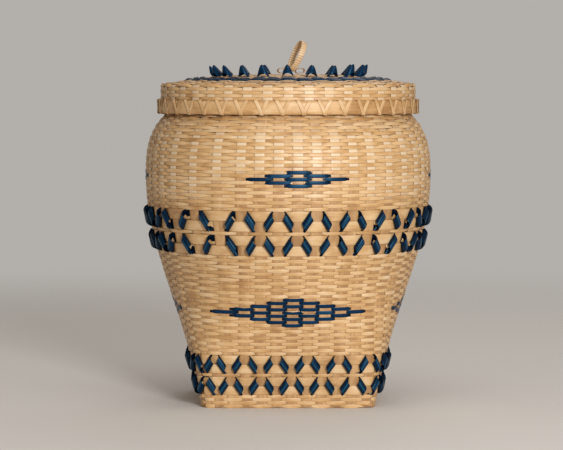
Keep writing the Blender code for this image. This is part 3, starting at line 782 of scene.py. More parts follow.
def weave_row(splints, surface, level, half_width, parity, lift, thickness, stray, tone,
              ease=1.6, swell=0.20, tilt=0.0):
    """One closed weaver, over the uprights of its parity and under the others."""
    random, count = splints.random, surface.count
    columns = np.arange(count * ROW_STEPS) / ROW_STEPS
    swing = np.cos(np.pi * (columns - 0.5 - parity))
    eased = np.tanh(ease * swing) / math.tanh(ease)
    half_width = half_width * (1.0 + swell * np.clip(swing * WIDENING, 0.0, 1.0))
    levels = level + wander(random, columns, count, stray)
    along, upward, outward = surface.directions(columns, levels)
    push = lift * (1.0 + random.normal(0.0, LIFT_SPREAD, count).repeat(ROW_STEPS))
    middles = surface.section(columns, levels) + outward * (eased * push)[:, None]
    leaning = at_uprights(columns, random.normal(tilt, TILT_SPREAD, count))
    sides = unit(upward + outward * leaning[:, None])
    shade = random.normal(tone, TONE_SPREAD)
    own = at_uprights(columns, random.normal(0.0, FLOAT_SPREAD, count))
    shade = shade + wander(random, columns, count, TONE_WANDER) + own
    splints.add(middles, sides, half_width, thickness, outward, True, np.clip(shade, 0.0, 1.0))


class Row:
    """One weaver of the body: its middle level, its height, and the uprights it goes over."""

    def __init__(self, level, height, parity):
        self.level = level
        self.height = height
        self.parity = parity

    def on(self, wall):
        """The row with the width that its height takes up on the leaning wall."""
        self.width = self.height / wall.slope(self.level)
        return self


def even_rows(bottom, top, count, parity):
    """Equal rows from bottom to top."""
    height = (top - bottom) / count
    return [Row(bottom + (number + 0.5) * height, height, (parity + number) % 2) for number in range(count)]


def band_rows(band, bottom):
    """Rows of a band of curls, upwards: two wide weavers, a thin one, and two wide ones."""
    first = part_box(band + "_wide_weaver_1")[0].z
    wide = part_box(band + "_wide_weaver_2")[0].z - first
    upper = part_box(band + "_wide_weaver_3")[0].z - first + bottom
    thin = upper - bottom - 2.0 * wide
    places = ((bottom + wide * 0.5, wide, EVEN), (bottom + wide * 1.5, wide, ODD),
              (bottom + thin / 2.0 + 2.0 * wide, thin, EVEN),
              (upper + wide * 0.5, wide, ODD), (upper + wide * 1.5, wide, EVEN))
    return [Row(*place) for place in places]


def shoulder_rows(wall, weave):
    """Rows above the upper band, each as wide as the next along the slope."""
    rows, level, parity = [], SHOULDER_BOTTOM, ODD
    while level < RIM_TOP - weave.shoulder_row:
        height = weave.shoulder_row * max(wall.slope(level), 0.5)
        height *= 0.945 + 0.055 * ramp(level, 0.195, 0.02)
        rows.append(Row(level + height / 2.0, height, parity))
        level += height
        parity = 1 - parity
    return rows


def body_rows(wall, weave):
    """Every weaver of the body, by region, from the foot up."""
    regions = {
        "foot": even_rows(FIRST_ROW, FOOT_TOP, weave.foot_rows, EVEN),
        "lower": band_rows("lower", FOOT_TOP),
        "belly": even_rows(BELLY_BOTTOM, BELLY_TOP, weave.belly_rows, ODD),
        "upper": band_rows("upper", BELLY_TOP),
        "shoulder": shoulder_rows(wall, weave),
    }
    return {region: [row.on(wall) for row in rows] for region, rows in regions.items()}


class Maker:
    """What every operator needs: sizes, the wall and the finishes."""

    def __init__(self, context):
        scene = context.scene
        self.body = scene.basket_body
        self.weave = scene.basket_weave
        self.lid = scene.basket_lid
        self.handle = scene.basket_handle
        self.colours = scene.basket_colours
        self.wall = Wall(self.body)

    def finish(self, name):
        """The material of that name, made when it is first asked for."""
        made = bpy.data.materials.get(name)
        if made is None:
            recipe, settings = FINISHES[name]
            made = recipe(name, self.colours, **settings)
        return made


# Pieces of the body

def row_push(rows, levels, parity, give):
    """How the weavers push an upright of a parity in and out at each level."""
    middles = np.array([row.level for row in rows])
    signs = np.array([-1.0 if row.parity == parity else 1.0 for row in rows])
    return give * np.interp(levels, middles, signs)


def upright_levels(rows):
    """Levels where an upright has a section: three to each row, and the top of the last."""
    levels = [row.level + row.height * share for row in rows for share in (-0.5, -0.2, 0.2)]
    return np.array(levels + [rows[-1].level + rows[-1].height * 0.5])


def standing_half(maker, column, levels, rows, random):
    """Middles, sides, half widths and painted sheen of an upright from the floor to the rim."""
    wall, body = maker.wall, maker.body
    along, _, outward = wall.directions(column, levels)
    push = row_push(rows, levels, int(column) % 2, maker.weave.upright_give)
    middles = wall.section(column, levels) + outward * push[:, None]
    width = body.upright_width * (1.0 + body.upright_swell * smooth(levels / SWELL_HEIGHT))
    width = width * (1.0 - SLIMMED * ramp(levels, *SLIMMING))
    half = np.minimum(width, wall.pitch(column, levels) * UPRIGHT_SPACE) / 2.0
    half = half * (1.0 + RIPPLE * np.sin(levels * RIPPLE_RATE + column))
    # Painted sheen: the face turns paler up the shoulder, lower beside the front's middle, and darker again
    # near the lid
    start = SHEEN_START - SHEEN_DROP * ramp(abs(wall.from_front(column)), *SHEEN_BESIDE)
    sheen_whites = ramp(levels, start, SHEEN_RISE) - SHEEN_LOSS * ramp(levels, *SHEEN_END)
    return middles, along, half, (0.85 + random.normal(0.0, 0.06)) * sheen_whites


def floor_bend(foot, inward):
    """Middles of the quarter turn from an upright's foot down to the floor."""
    quarter = np.linspace(0.0, math.pi / 2.0, 5)[1:]
    bend = foot * FLAT + inward * (FLOOR_BEND * (1.0 - np.cos(quarter)))[:, None]
    bend[:, 2] = FLOOR_LEVEL + FLOOR_BEND * (1.0 - np.sin(quarter))
    return bend


def floor_middles(first, last, lap, crossings):
    """Middles of a splint under the basket, from one foot to the other."""
    across = (last - first) * FLAT
    inward = unit(across)
    shares = np.arange(1, crossings * FLOOR_STEPS) / (crossings * FLOOR_STEPS)
    span = float(np.linalg.norm(across)) - 2.0 * FLOOR_BEND
    floor = first * FLAT + inward * (FLOOR_BEND + shares * span)[:, None]
    floor[:, 2] = FLOOR_LEVEL + np.cos(np.pi * (shares * crossings - 0.5 + lap)) * FLOOR_SWING
    return np.concatenate((floor_bend(first, inward), floor, floor_bend(last, -inward)[::-1]))


def make_uprights(maker):
    """Splints that cross the floor and run up two opposite faces, under every weaver."""
    body = maker.body
    rows = [row for region in body_rows(maker.wall, maker.weave).values() for row in region]
    levels = upright_levels(rows)
    levels = levels[levels > FLOOR_BEND + FLOOR_LEVEL]
    per_face = body.uprights_per_face
    splints = Splints(11)
    for number in range(2 * per_face):
        crosswise = number // per_face
        opening = number % per_face + 0.5 + crosswise * per_face
        opposite = (3 + 2 * crosswise) * per_face - opening
        first, last = (standing_half(maker, column, levels, rows, splints.random)
                       for column in (opening, opposite))
        floor = floor_middles(first[0][0], last[0][0], number % 2 + crosswise, per_face)
        side = unit(np.cross(last[0][0] - first[0][0], UP))
        sides = np.concatenate((first[1][::-1], rows_of(side, len(floor)), last[1]))
        aligned = np.sign((sides * side).sum(axis=1))[:, None]
        spread = np.sin(np.linspace(0.0, math.pi, len(floor))) ** 0.35
        halves = np.concatenate((first[2][::-1], first[2][0] * (1.0 + FLOOR_SPREAD * spread), last[2]))
        # Painted sheen of each standing half, none under the floor
        sheen_whites = np.concatenate((first[3][::-1], np.zeros(len(floor)), last[3]))
        tone = splints.random.normal(0.20, 0.06)
        splints.add(np.concatenate((first[0][::-1], floor, last[0])), sides * aligned, halves,
                    body.upright_thickness, tone=tone, white=sheen_whites)
    splints.make("basket_uprights", "basket", maker.finish("ash_upright"), "ash_splint",
                 "floor_mat", "lower_uprights", "upper_uprights")


def make_plain(maker, region, name, seed, tone, node):
    """Narrow weavers of one region of the body."""
    weave = maker.weave
    splints = Splints(seed)
    for row in body_rows(maker.wall, weave)[region]:
        lift = weave.weaver_lift * splints.random.normal(1.0, 0.06)
        weave_row(splints, maker.wall, row.level, row.width * PLAIN_FILL, row.parity, lift,
                  weave.weaver_thickness, weave.weaver_wander, tone)
    splints.make(name, "basket", maker.finish("ash_weaver"), "ash_splint", node)


def make_band(maker, band, seed):
    """Wide weavers of a band of curls, and the thin one between them."""
    weave = maker.weave
    rows = body_rows(maker.wall, weave)[band]
    thin = rows.pop(2)
    for number, row in enumerate(rows, 1):
        splints = Splints(seed + number)
        weave_row(splints, maker.wall, row.level, row.width * WIDE_FILL, row.parity, weave.wide_lift,
                  weave.weaver_thickness, weave.weaver_wander * 0.5, 0.50, ease=2.6, swell=0.04)
        name = f"{band}_wide_weaver_{number}"
        splints.make(name + "_splint", "basket", maker.finish("ash_wide"), "ash_splint_warm", name)
    splints = Splints(seed + 9)
    weave_row(splints, maker.wall, thin.level, thin.width * THIN_FILL, thin.parity, weave.weaver_lift,
              weave.weaver_thickness, weave.weaver_wander, 0.50, swell=0.05)
    splints.make(band + "_thin_weaver", "basket", maker.finish("ash_weaver"), "ash_splint")


def curl_path(maker, column, middle, row, slant, random):
    """One curl across a space: a full turn of the splint, slanting down (1) or up (-1)."""
    wall, weave = maker.wall, maker.weave
    space = weave.curl_step / float(wall.pitch(column, middle))
    start = wall.point(column - space, middle + slant * row / 2.0, CURL_SEAT)
    end = wall.point(column + space, middle - slant * row / 2.0, CURL_SEAT)
    along, upward, outward = wall.directions(column, middle)
    level, lean = math.cos(weave.curl_slant), slant * math.sin(weave.curl_slant)
    axis = upward * level - along * lean
    across = along * level + upward * lean
    reach = weave.curl_reach * random.normal(1.0, 0.05)
    depth = weave.curl_depth * random.normal(1.0, 0.05)
    turn = np.linspace(0.0, math.tau, CURL_STATIONS)
    middles = (start + np.outer(turn / math.tau, end - start) + np.outer(np.sin(turn), across * reach)
               + np.outer(1.0 - np.cos(turn), outward * depth))
    halves = np.full(CURL_STATIONS, (row * 0.5 + 0.0003) / level)
    # Tone: painted shade towards the curl's ends where it turns into the wall, and a painted highlight along
    # its ridge
    ridge_highlight = np.exp(-((turn - math.pi) / 0.34) ** 2)
    return middles, rows_of(axis, CURL_STATIONS), halves, 0.45 * np.sin(turn / 2.0) ** 4 + 0.5 * ridge_highlight


def make_curls(maker, band, seed):
    """The two dyed splints of a band, each curled once in every space round the body."""
    rows = body_rows(maker.wall, maker.weave)[band]
    for number, pair in enumerate((rows[:2], rows[3:]), 1):
        middle = (pair[0].level + pair[1].level) / 2.0
        splints = Splints(seed + number)
        parts = []
        for column in range(maker.wall.count):
            slant = 1 if column % 2 == number % 2 else -1
            parts.append(curl_path(maker, column, middle, pair[0].height, slant, splints.random))
        middles, sides, halves, tones = (np.concatenate(field) for field in zip(*parts))
        splints.add(middles, sides, halves, maker.weave.curl_thickness, closed=True, tone=tones)
        name = f"{band}_curl_strip_{number}"
        splints.make(name + "_splint", "basket", maker.finish("ash_dyed"), "dyed_splint", name)


def make_diamonds(maker, region, middle, half_rows, name, seed):
    """Dyed floats laid over a region's weavers, in diamonds centred on each face."""
    wall, weave = maker.wall, maker.weave
    rows = body_rows(wall, weave)[region]
    centre = int(np.argmin([abs(row.level - middle) + (row.parity != EVEN) for row in rows]))
    splints = Splints(seed)
    per_face = maker.body.uprights_per_face
    swing = np.tanh(1.7 * np.cos(np.pi * DIAMOND_SPACES)) / math.tanh(1.7)
    lift = swing * weave.weaver_lift + DIAMOND_CLEAR * (0.6 + 0.4 * (swing > -0.2))
    # Painted shade: each float darker towards its ends, where it dives under the next upright
    end_shade = 0.5 * ramp(np.abs(DIAMOND_SPACES), 0.35, 0.3)
    for face in range(4):
        heart = per_face // 2 + face * per_face
        for shift in range(1 - half_rows, half_rows):
            row = rows[centre + shift]
            size = half_rows - abs(shift)
            for place in range(1 - size, size, 2):
                columns = heart + place + 0.5 + DIAMOND_SPACES
                _, upward, outward = wall.directions(columns, row.level)
                middles = wall.section(columns, row.level) + outward * lift[:, None]
                shade = np.clip(splints.random.normal(0.55, 0.10) - end_shade, 0.0, 1.0)
                splints.add(middles, upward, row.width * DIAMOND_FILL, DYED_THICKNESS, outward, tone=shade)
    splints.make(name, "basket", maker.finish("ash_dyed"), "dyed_splint")


def make_hoop(maker, name, bottom, top, body, slot, splice, seed, tone):
    """Flat hoop in the place of its CAD node, its tapered ends overlapping at the angle splice."""
    splints = Splints(seed)
    thickness = HOOP_THICKNESS[name] * HOOP_SHARE
    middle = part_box(name)[1].x - HOOP_THICKNESS[name] / 2.0
    turns = np.linspace(0.0, math.tau + HOOP_OVERLAP, HOOP_STATIONS)
    ends = np.minimum(ramp(turns, 0.0, HOOP_OVERLAP), smooth((turns[-1] - turns) / HOOP_OVERLAP))
    share = ends * (1.0 - HOOP_END) + HOOP_END
    inset = np.where(turns < math.pi, -1.0, 1.0) * (1.0 - share) * thickness / 2.0
    reach = middle + inset + wander(splints.random, turns, math.tau, HOOP_WANDER)
    tones = tone - HOOP_SHADE * smooth((2.2 - turns) / 1.4)
    splints.add(round_axis(splice + turns, reach, (bottom + top) / 2.0), rows_of(UP, HOOP_STATIONS),
                (top - bottom) / 2.0, thickness * share, round_axis(splice + turns), tone=tones)
    splints.make(name + "_splint", body, maker.finish("ash_hoop"), slot, name)


def lash(splints, count, offset, direction, lean, radii, levels, width):
    """Strand wound round a pair of hoops, count turns, leaning as it rises outside."""
    outside, inside = radii
    bottom, top = levels
    turns = np.repeat(np.arange(count), len(LASH_TURN))
    across, height, outer, inner = np.tile(LASH_TURN, (count, 1)).T
    share = outer * lean + inner * (1.0 - lean)
    angles = offset + direction * (turns + share) * math.tau / count
    radial = (outside + inside) / 2.0 + across * (outside - inside) / 2.0
    middles = round_axis(angles, radial, (bottom + top) / 2.0 + height * (top - bottom) / 2.0)
    outward = round_axis(angles) * (across * (np.abs(height) < 0.95))[:, None]
    fronts = unit(outward + UP * (height * (np.abs(height) > 0.85))[:, None])
    sides = unit(np.cross(fronts, np.roll(middles, -1, axis=0) - np.roll(middles, 1, axis=0)))
    splints.add(middles, sides, width / 2.0, STRAND_THICKNESS, fronts, closed=True, tone=0.58)


def make_lashing(maker, name, outer, inner, count, body, offset, directions, seed, *nodes):
    """Lashing round a pair of hoops, a strand in each direction."""
    low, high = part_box(outer)
    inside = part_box(inner)[1].x - HOOP_THICKNESS[inner]
    splints = Splints(seed)
    for number, direction in enumerate(directions, 1):
        clear = LASH_CLEAR * number
        lash(splints, count, offset, direction, maker.lid.strand_lean, (high.x + clear, inside - clear),
             (low.z - clear, high.z + clear), maker.lid.strand)
    splints.make(name, body, maker.finish("ash_lashing"), "ash_splint_warm", *nodes)


# Pieces of the lid

def lid_profile(lid):
    """Radius and height of the middle of the lid's weave, from its lower edge to its middle."""
    half = LID_WEAVE / 2.0
    side = LID_RADIUS - half
    rim = LID_RADIUS - lid.edge_inset
    shoulder = rim - CORNER_WIDTH
    radii = np.linspace(shoulder, 0.0, TOP_STEPS)
    heights = LID_CROWN - half - lid.crown * (radii / rim) ** lid.crown_power
    start = (side, LID_EDGE - CORNER_DROP)
    corner = np.array((start, (side, LID_EDGE + CORNER_RISE), (rim - 0.0002, heights[0] - 0.0001),
                       (shoulder, heights[0])))
    share = np.linspace(0.1, 1.0, CORNER_STEPS)[:, None]
    weights = ((1 - share) ** 3, 3 * share * (1 - share) ** 2, 3 * share ** 2 * (1 - share), share ** 3)
    bend = sum(weight * point for weight, point in zip(weights, corner))
    top = np.stack((radii, heights), axis=1)[1:]
    return np.concatenate((((side, LID_BOTTOM), start), bend, top))


class LidSurface(Turned):
    """The lid's side, edge and top as one surface, by distance from its lower edge."""

    def __init__(self, lid, count):
        profile = lid_profile(lid)
        run = run_along(profile)
        radii, heights = profile.T
        self.end = run[-1]
        self.top_radii, self.top_run = radii[CORNER_STEPS + 2:], run[CORNER_STEPS + 2:]
        super().__init__(count, lid.turn, lambda level: np.interp(level, run, radii),
                         lambda level: np.interp(level, run, heights))

    def level_of(self, radius):
        """Level on the top where the surface has that radius."""
        return float(np.interp(-radius, -self.top_radii, self.top_run))


def lid_rows(surface, lid):
    """Level and height of the lid's weavers: behind the hoops and on the side, and on the top."""
    hidden = LID_HOOP_TOP - LID_BOTTOM
    start = LID_EDGE - 0.0002 - LID_BOTTOM
    end = surface.level_of(LID_HEART)
    spans = ((0.0, hidden, HIDDEN_ROWS), (hidden, start, lid.side_rows),
             (start, end, int(round((end - start) / lid.top_row))))
    behind, side, top = ([(low + (number + 0.5) * (high - low) / count, (high - low) / count)
                          for number in range(count)] for low, high, count in spans)
    return behind + side, top


def make_lid_uprights(maker):
    """Splints that cross in the middle of the lid and fold down its side."""
    lid = maker.lid
    surface = LidSurface(lid, lid.uprights)
    side, top = lid_rows(surface, lid)
    split = surface.level_of(LID_SPLIT)
    splints = Splints(41)
    for upright in range(lid.uprights):
        crossing = upright % 2 == 0
        last = surface.end if crossing else split
        levels, pushes = [0.0], [0.0]
        for number, (level, _) in enumerate(side + top):
            if level > last:
                break
            place = upright // 2 if level > split else upright
            levels.append(level)
            pushes.append(LID_GIVE if (number + place) % 2 else -LID_GIVE)
        fine = np.linspace(0.0, last - (0.0008 if crossing else 0.0), LID_STATIONS)
        stacked = LID_STACK * ((upright // 2) % 4 - 1.0) if crossing else 0.0
        push = np.interp(fine, levels, pushes)
        push = push + stacked * ramp(fine, surface.level_of(LID_HEART + 0.004), 0.008)
        column = upright + 0.5
        along, _, outward = surface.directions(column, np.minimum(fine, last - 0.0012))
        middles = surface.section(column, fine) + outward * push[:, None]
        radii = surface.radius_at(fine)
        half = np.clip(math.tau * radii / lid.uprights * LID_UPRIGHT_SHARE, *LID_UPRIGHT_HALF)
        white = splints.random.normal(0.72, 0.08) - 0.35 * smooth((0.05 - radii) / 0.03)
        splints.add(middles, along, half, LID_UPRIGHT_THICKNESS, outward, white=white)
    splints.make("lid_uprights", "lid", maker.finish("ash_upright"), "ash_splint")


def make_lid_weave(maker):
    """Weavers of the lid's side and top, dyed where the wavy rows are."""
    lid = maker.lid
    surface = LidSurface(lid, lid.uprights)
    inner = LidSurface(lid, lid.uprights // 2)
    side, top = lid_rows(surface, lid)
    split = surface.level_of(LID_SPLIT)
    groups = {"side": Splints(42), "top": Splints(43), "dyed": Splints(44)}
    for number, (level, height) in enumerate(side + top):
        group = "side" if number < len(side) else "top"
        tone, lift, tilt = 0.56, lid.lift, 0.0
        if number in (len(side), len(side) + 1):
            lift, tilt = lid.edge_wave, 0.25
        if group == "top" and DYED_INSIDE < float(surface.radius_at(level)) < DYED_OUTSIDE:
            group, tone, lift, tilt = "dyed", 0.35, lid.edge_wave, 0.45
        weave_row(groups[group], surface if level < split else inner, level, height * LID_FILL, number % 2,
                  lift, LID_WEAVER_THICKNESS, LID_WANDER, tone, tilt=tilt)
    groups["side"].make("lid_side_weave", "lid", maker.finish("ash_weaver"), "ash_splint", "lid_wall")
    groups["top"].make("lid_top_weave", "lid", maker.finish("ash_weaver"), "ash_splint", "lid_top")
    groups["dyed"].make("lid_dyed_rows", "lid", maker.finish("ash_dyed"), "dyed_splint", "lid_dyed_weaver")


def hood_rings(lid, foot, outward, size):
    """Rings of one hood from its open foot, arched before and behind, to its rounded point."""
    along = np.cross(UP, outward)
    turn = np.linspace(0.0, math.tau, HOOD_SIDES, endpoint=False)[:, None]
    rings = []
    for share in HOOD_SHARES:
        half = lid.curl_half * (1.0 - HOOD_TAPER * share) * math.sqrt(1.0 - share ** 6) * size
        arch = lid.curl_height * HOOD_ARCH * np.cos(turn) ** 2 * (1.0 - share) ** 2
        middle = foot + outward * HOOD_LEAN * size * share ** 1.2
        rings.append(middle + along * half * np.sin(turn) + outward * HOOD_DEPTH * half * np.cos(turn)
                     + UP * (lid.curl_height * share * size + arch))
    return np.array(rings)


def make_lid_curls(maker):
    """Ring of pointed hoods of dyed splint round the lid, each over a short run of that splint."""
    lid = maker.lid
    surface = LidSurface(lid, lid.uprights)
    splints = Splints(51)
    level = surface.level_of(lid.curl_ring)
    height = float(surface.height_at(level)) + 0.0004
    rise = LINK_RISE * np.cos(np.linspace(-1.5, 1.5, LINK_STATIONS))
    for number in range(lid.curls):
        angle = lid.turn - math.pi / 2.0 + number * math.tau / lid.curls
        outward = round_axis(angle + splints.random.normal(0.0, 0.012))
        foot = outward * lid.curl_ring + UP * height
        rings = hood_rings(lid, foot, outward, splints.random.normal(1.0, 0.04))
        splints.add_hood(rings, HOOD_THICKNESS)
        middle = number * lid.uprights / lid.curls + 0.5
        columns = middle + np.linspace(-LINK_REACH, LINK_REACH, LINK_STATIONS)
        _, upward, out = surface.directions(columns, level)
        middles = surface.section(columns, level) + out * rise[:, None]
        splints.add(middles, upward, LINK_HALF, HOOD_THICKNESS, out)
    splints.make("lid_curls", "lid", maker.finish("ash_dyed"), "dyed_splint", "lid_curl_strip")


# Handle

def hinge_place(across, side, level, lean=0.0):
    """World places from the handle's own frame: across its band, along its hinge, and up."""
    hinge = unit(HINGE_AXIS)
    front = np.cross(hinge, UP)
    leaned_front = front * math.cos(lean) - UP * math.sin(lean)
    leaned_up = front * math.sin(lean) + UP * math.cos(lean)
    across, side, level = np.broadcast_arrays(across, side, level)
    return PIVOT + leaned_front * across[..., None] + hinge * side[..., None] + leaned_up * level[..., None]


def ring_middle(handle, turn):
    """Side and level of the ring's middle line, narrower at its foot."""
    half_length = (handle.length - handle.band_thickness) / 2.0
    half_across = (handle.width - handle.band_thickness) / 2.0
    narrowing = 1.0 - RING_NARROWING * np.cos(turn)
    return half_across * np.sin(turn) * narrowing / 1.06, half_length * (1.0 - np.cos(turn))


def rounded(waves):
    """Waves with flatter tops, for a path that keeps close to a flat band."""
    return np.sign(waves) * np.abs(waves) ** WRAP_ROUNDING


def make_ring(maker):
    """Flat band bent into a ring, and the splint wound round it."""
    handle, lean = maker.handle, maker.handle.lean
    core = Splints(61)
    side, level = ring_middle(handle, np.arange(RING_STATIONS) / RING_STATIONS * math.tau)
    middles = hinge_place(0.0, side, level, lean)
    across = hinge_place(1.0, 0.0, 0.0, lean) - PIVOT
    core.add(middles, rows_of(across, RING_STATIONS), handle.band / 2.0 - CORE_INSET,
             handle.band_thickness - CORE_THINNING, closed=True, tone=0.50, white=0.3)
    core.make("handle_core", "handle", maker.finish("ash_hoop"), "ash_splint_warm")
    wrap = Splints(62)
    steps = np.arange(int(round(run_along(middles)[-1] / handle.wrap)) * WRAP_STATIONS)
    cosine, sine = (wave(steps / WRAP_STATIONS * math.tau) for wave in (np.cos, np.sin))
    position = steps / len(steps) * math.tau
    side, level = ring_middle(handle, position)
    ahead_side, ahead_level = ring_middle(handle, position + 0.01)
    tangent = unit(np.stack((ahead_side - side, ahead_level - level), axis=1))
    normal_side, normal_level = tangent[:, 1], -tangent[:, 0]
    width = (handle.band / 2.0 - WRAP_SINK) * rounded(cosine)
    through = (handle.band_thickness / 2.0 - WRAP_SINK) * rounded(sine)
    points = hinge_place(width, side + normal_side * through, level + normal_level * through, lean)
    centre = hinge_place(0.0, side, level, lean)
    along = unit(hinge_place(0.0, ahead_side, ahead_level, lean) - centre)
    fronts = hinge_place(cosine * 0.45, side + normal_side * sine, level + normal_level * sine, lean)
    wrap.add(points, along, handle.wrap * WRAP_FILL, STRAND_THICKNESS, unit(fronts - centre), closed=True,
             tone=0.66, white=0.42)
    wrap.make("handle_wrap", "handle", maker.finish("ash_lashing"), "ash_splint_pale", "handle_ring")


def make_strap(maker):
    """Splint over the foot of the ring, its ends turned back into two loops."""
    low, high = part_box("handle_strap")
    foot = low.z + STRAP_SINK - PIVOT[2]
    arch = high.z - PIVOT[2] - STRAP_SINK
    angles = np.linspace(0.0, math.pi, 13)
    over = [(-arch * math.cos(angle), arch * math.sin(angle)) for angle in angles]
    right = [(arch + out, foot + up) for out, up in STRAP_LOOP]
    left = [(-along, level) for along, level in reversed(right)]
    corners = np.array(left + over + right)
    run = run_along(corners)
    even = np.linspace(0.0, run[-1], STRAP_STATIONS)
    path = np.stack([np.interp(even, run, places) for places in corners.T], axis=1)
    for _ in range(3):
        path[1:-1] = (path[:-2] + path[1:-1] * 2.0 + path[2:]) / 4.0
    splints = Splints(63)
    middles = hinge_place(path[:, 0], 0.0, path[:, 1])
    splints.add(middles, rows_of(unit(HINGE_AXIS), STRAP_STATIONS), STRAP_HALF, STRAP_THICKNESS, tone=0.55)
    splints.make("strap_bow", "lid", maker.finish("ash_wide"), "ash_splint", "handle_strap")


# Stage

def stage_finish(colour):
    """Matt pale floor that keeps the object's shadow and fades out far from it."""
    paint = Paint(bpy.data.materials.new("stage_paper"))
    ground = paint.node("ShaderNodeNewGeometry", {}, {}, "Position")
    cloud = paint.noise(ground, 1.5, 2.0)
    tint = paint.mix(cloud, [channel * 0.98 for channel in colour], colour)
    away = paint.node("ShaderNodeVectorMath", {"operation": "LENGTH"}, {0: ground}, "Value")
    return paint.finish(Base_Color=tint, Roughness=0.9, Alpha=1.0 - away.between(*FLOOR_FADE))


def make_air(colour):
    """World that lights evenly, and that the camera sees as a plain backdrop."""
    paint = Paint(bpy.data.worlds.new("stage_air"), "Background")
    air = Flow(paint, paint.shader.outputs[0])
    backdrop = paint.node("ShaderNodeBackground", {}, {"Color": colour})
    seen = paint.node("ShaderNodeLightPath", {}, {}, "Is Camera Ray")
    chosen = paint.node("ShaderNodeMixShader", {}, {0: seen, 1: air, 2: backdrop})
    paint.feed(paint.tree.nodes["World Output"].inputs["Surface"], chosen)
    return paint.finish(Color=AIR_COLOUR, Strength=AIR_STRENGTH)


def place(scene, name, data, location, rotation):
    """Adds an object to the scene."""
    placed = bpy.data.objects.new(name, data)
    placed.location = location
    placed.rotation_euler = rotation
    scene.collection.objects.link(placed)
    return placed


def make_stage(scene):
    """Round floor, soft lamps, even air and the camera."""
    stage = scene.basket_stage
    turns = [step / FLOOR_SIDES * math.tau for step in range(FLOOR_SIDES)]
    rim = [(FLOOR_RADIUS * math.cos(turn), FLOOR_RADIUS * math.sin(turn), 0.0) for turn in turns]
    mesh = bpy.data.meshes.new("stage_floor")
    mesh.from_pydata(rim, [], [range(FLOOR_SIDES)])
    mesh.materials.append(stage_finish(stage.floor_colour))
    place(scene, "stage_floor", mesh, (0.0, 0.0, 0.0), (0.0, 0.0, 0.0))
    middle = Vector((0.0, 0.0, (CAD_BOX[0][2] + CAD_BOX[1][2]) / 2.0))
    for name, location, size, energy, colour in LAMPS:
        lamp = bpy.data.lights.new(name, "AREA")
        lamp.shape = "RECTANGLE"
        lamp.size, lamp.size_y = size
        lamp.energy = energy
        lamp.color = colour
        aim = (middle - Vector(location)).to_track_quat("-Z", "Y").to_euler()
        place(scene, name, lamp, location, aim).visible_camera = False
    scene.world = make_air(stage.backdrop_colour)
    camera = bpy.data.cameras.new("stage_camera")
    camera.sensor_width = SENSOR_WIDTH
    camera.lens = stage.focal_pixels * SENSOR_WIDTH / PHOTO_WIDTH
    camera.clip_end = 50.0
    location = (stage.camera_slide, -stage.camera_distance, stage.camera_height)
    aim = (math.pi / 2.0 - stage.camera_pitch, 0.0, 0.0)
    scene.camera = place(scene, "stage_camera", camera, location, aim)
    scene.view_settings.view_transform = "Standard"


# Operators and panel

class BASKET_OT_stage(bpy.types.Operator):
    """Lay the floor, hang the lamps and place the camera"""
    bl_idname = "basket.stage"
    bl_label = "Set the Stage"

    def execute(self, context):
        make_stage(context.scene)
        return {"FINISHED"}


class BASKET_OT_uprights(bpy.types.Operator):
    """Cross the floor's splints and stand them up as the wall's uprights"""
    bl_idname = "basket.uprights"
    bl_label = "Stand the Uprights"

    def execute(self, context):
        make_uprights(Maker(context))
        return {"FINISHED"}


class BASKET_OT_plain_weave(bpy.types.Operator):
    """Weave the narrow weavers of the foot, belly and shoulder"""
    bl_idname = "basket.plain_weave"
    bl_label = "Weave the Plain Bands"

    def execute(self, context):
        maker = Maker(context)
        for region, seed, tone in (("foot", 21, 0.56), ("belly", 22, 0.58), ("shoulder", 23, 0.62)):
            make_plain(maker, region, region + "_weave", seed, tone, region + "_wall")
        return {"FINISHED"}


class BASKET_OT_bands(bpy.types.Operator):
    """Weave the wide and thin weavers under the curls"""
    bl_idname = "basket.bands"
    bl_label = "Weave the Wide Bands"

    def execute(self, context):
        maker = Maker(context)
        make_band(maker, "lower", 24)
        make_band(maker, "upper", 34)
        return {"FINISHED"}


class BASKET_OT_curls(bpy.types.Operator):
    """Curl the dyed splints in every space of the two bands"""
    bl_idname = "basket.curls"
    bl_label = "Curl the Dyed Splints"

    def execute(self, context):
        maker = Maker(context)
        make_curls(maker, "lower", 71)
        make_curls(maker, "upper", 73)
        return {"FINISHED"}


class BASKET_OT_diamonds(bpy.types.Operator):
    """Lay the dyed diamonds over the belly and the shoulder"""
    bl_idname = "basket.diamonds"
    bl_label = "Lay the Diamonds"

    def execute(self, context):
        maker = Maker(context)
        make_diamonds(maker, "belly", 0.088, 5, "belly_diamonds", 81)
        make_diamonds(maker, "shoulder", 0.203, 3, "shoulder_diamonds", 82)
        return {"FINISHED"}


class BASKET_OT_rim(bpy.types.Operator):
    """Bind the basket's rim with two hoops"""
    bl_idname = "basket.rim"
    bl_label = "Bind the Rim"

    def execute(self, context):
        maker = Maker(context)
        low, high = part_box("rim_outer_hoop")
        make_hoop(maker, "rim_outer_hoop", low.z, high.z, "basket", "ash_splint_warm", 0.8, 91, 0.4)
        make_hoop(maker, "rim_inner_hoop", low.z, high.z, "basket", "ash_splint_warm", 2.9, 92, 0.4)
        make_lashing(maker, "rim_lashing", "rim_outer_hoop", "rim_inner_hoop", maker.wall.count, "basket",
                     0.02, (1,), 93)
        return {"FINISHED"}


class BASKET_OT_lid_weave(bpy.types.Operator):
    """Plait the lid's top and side"""
    bl_idname = "basket.lid_weave"
    bl_label = "Plait the Lid"

    def execute(self, context):
        maker = Maker(context)
        make_lid_uprights(maker)
        make_lid_weave(maker)
        return {"FINISHED"}


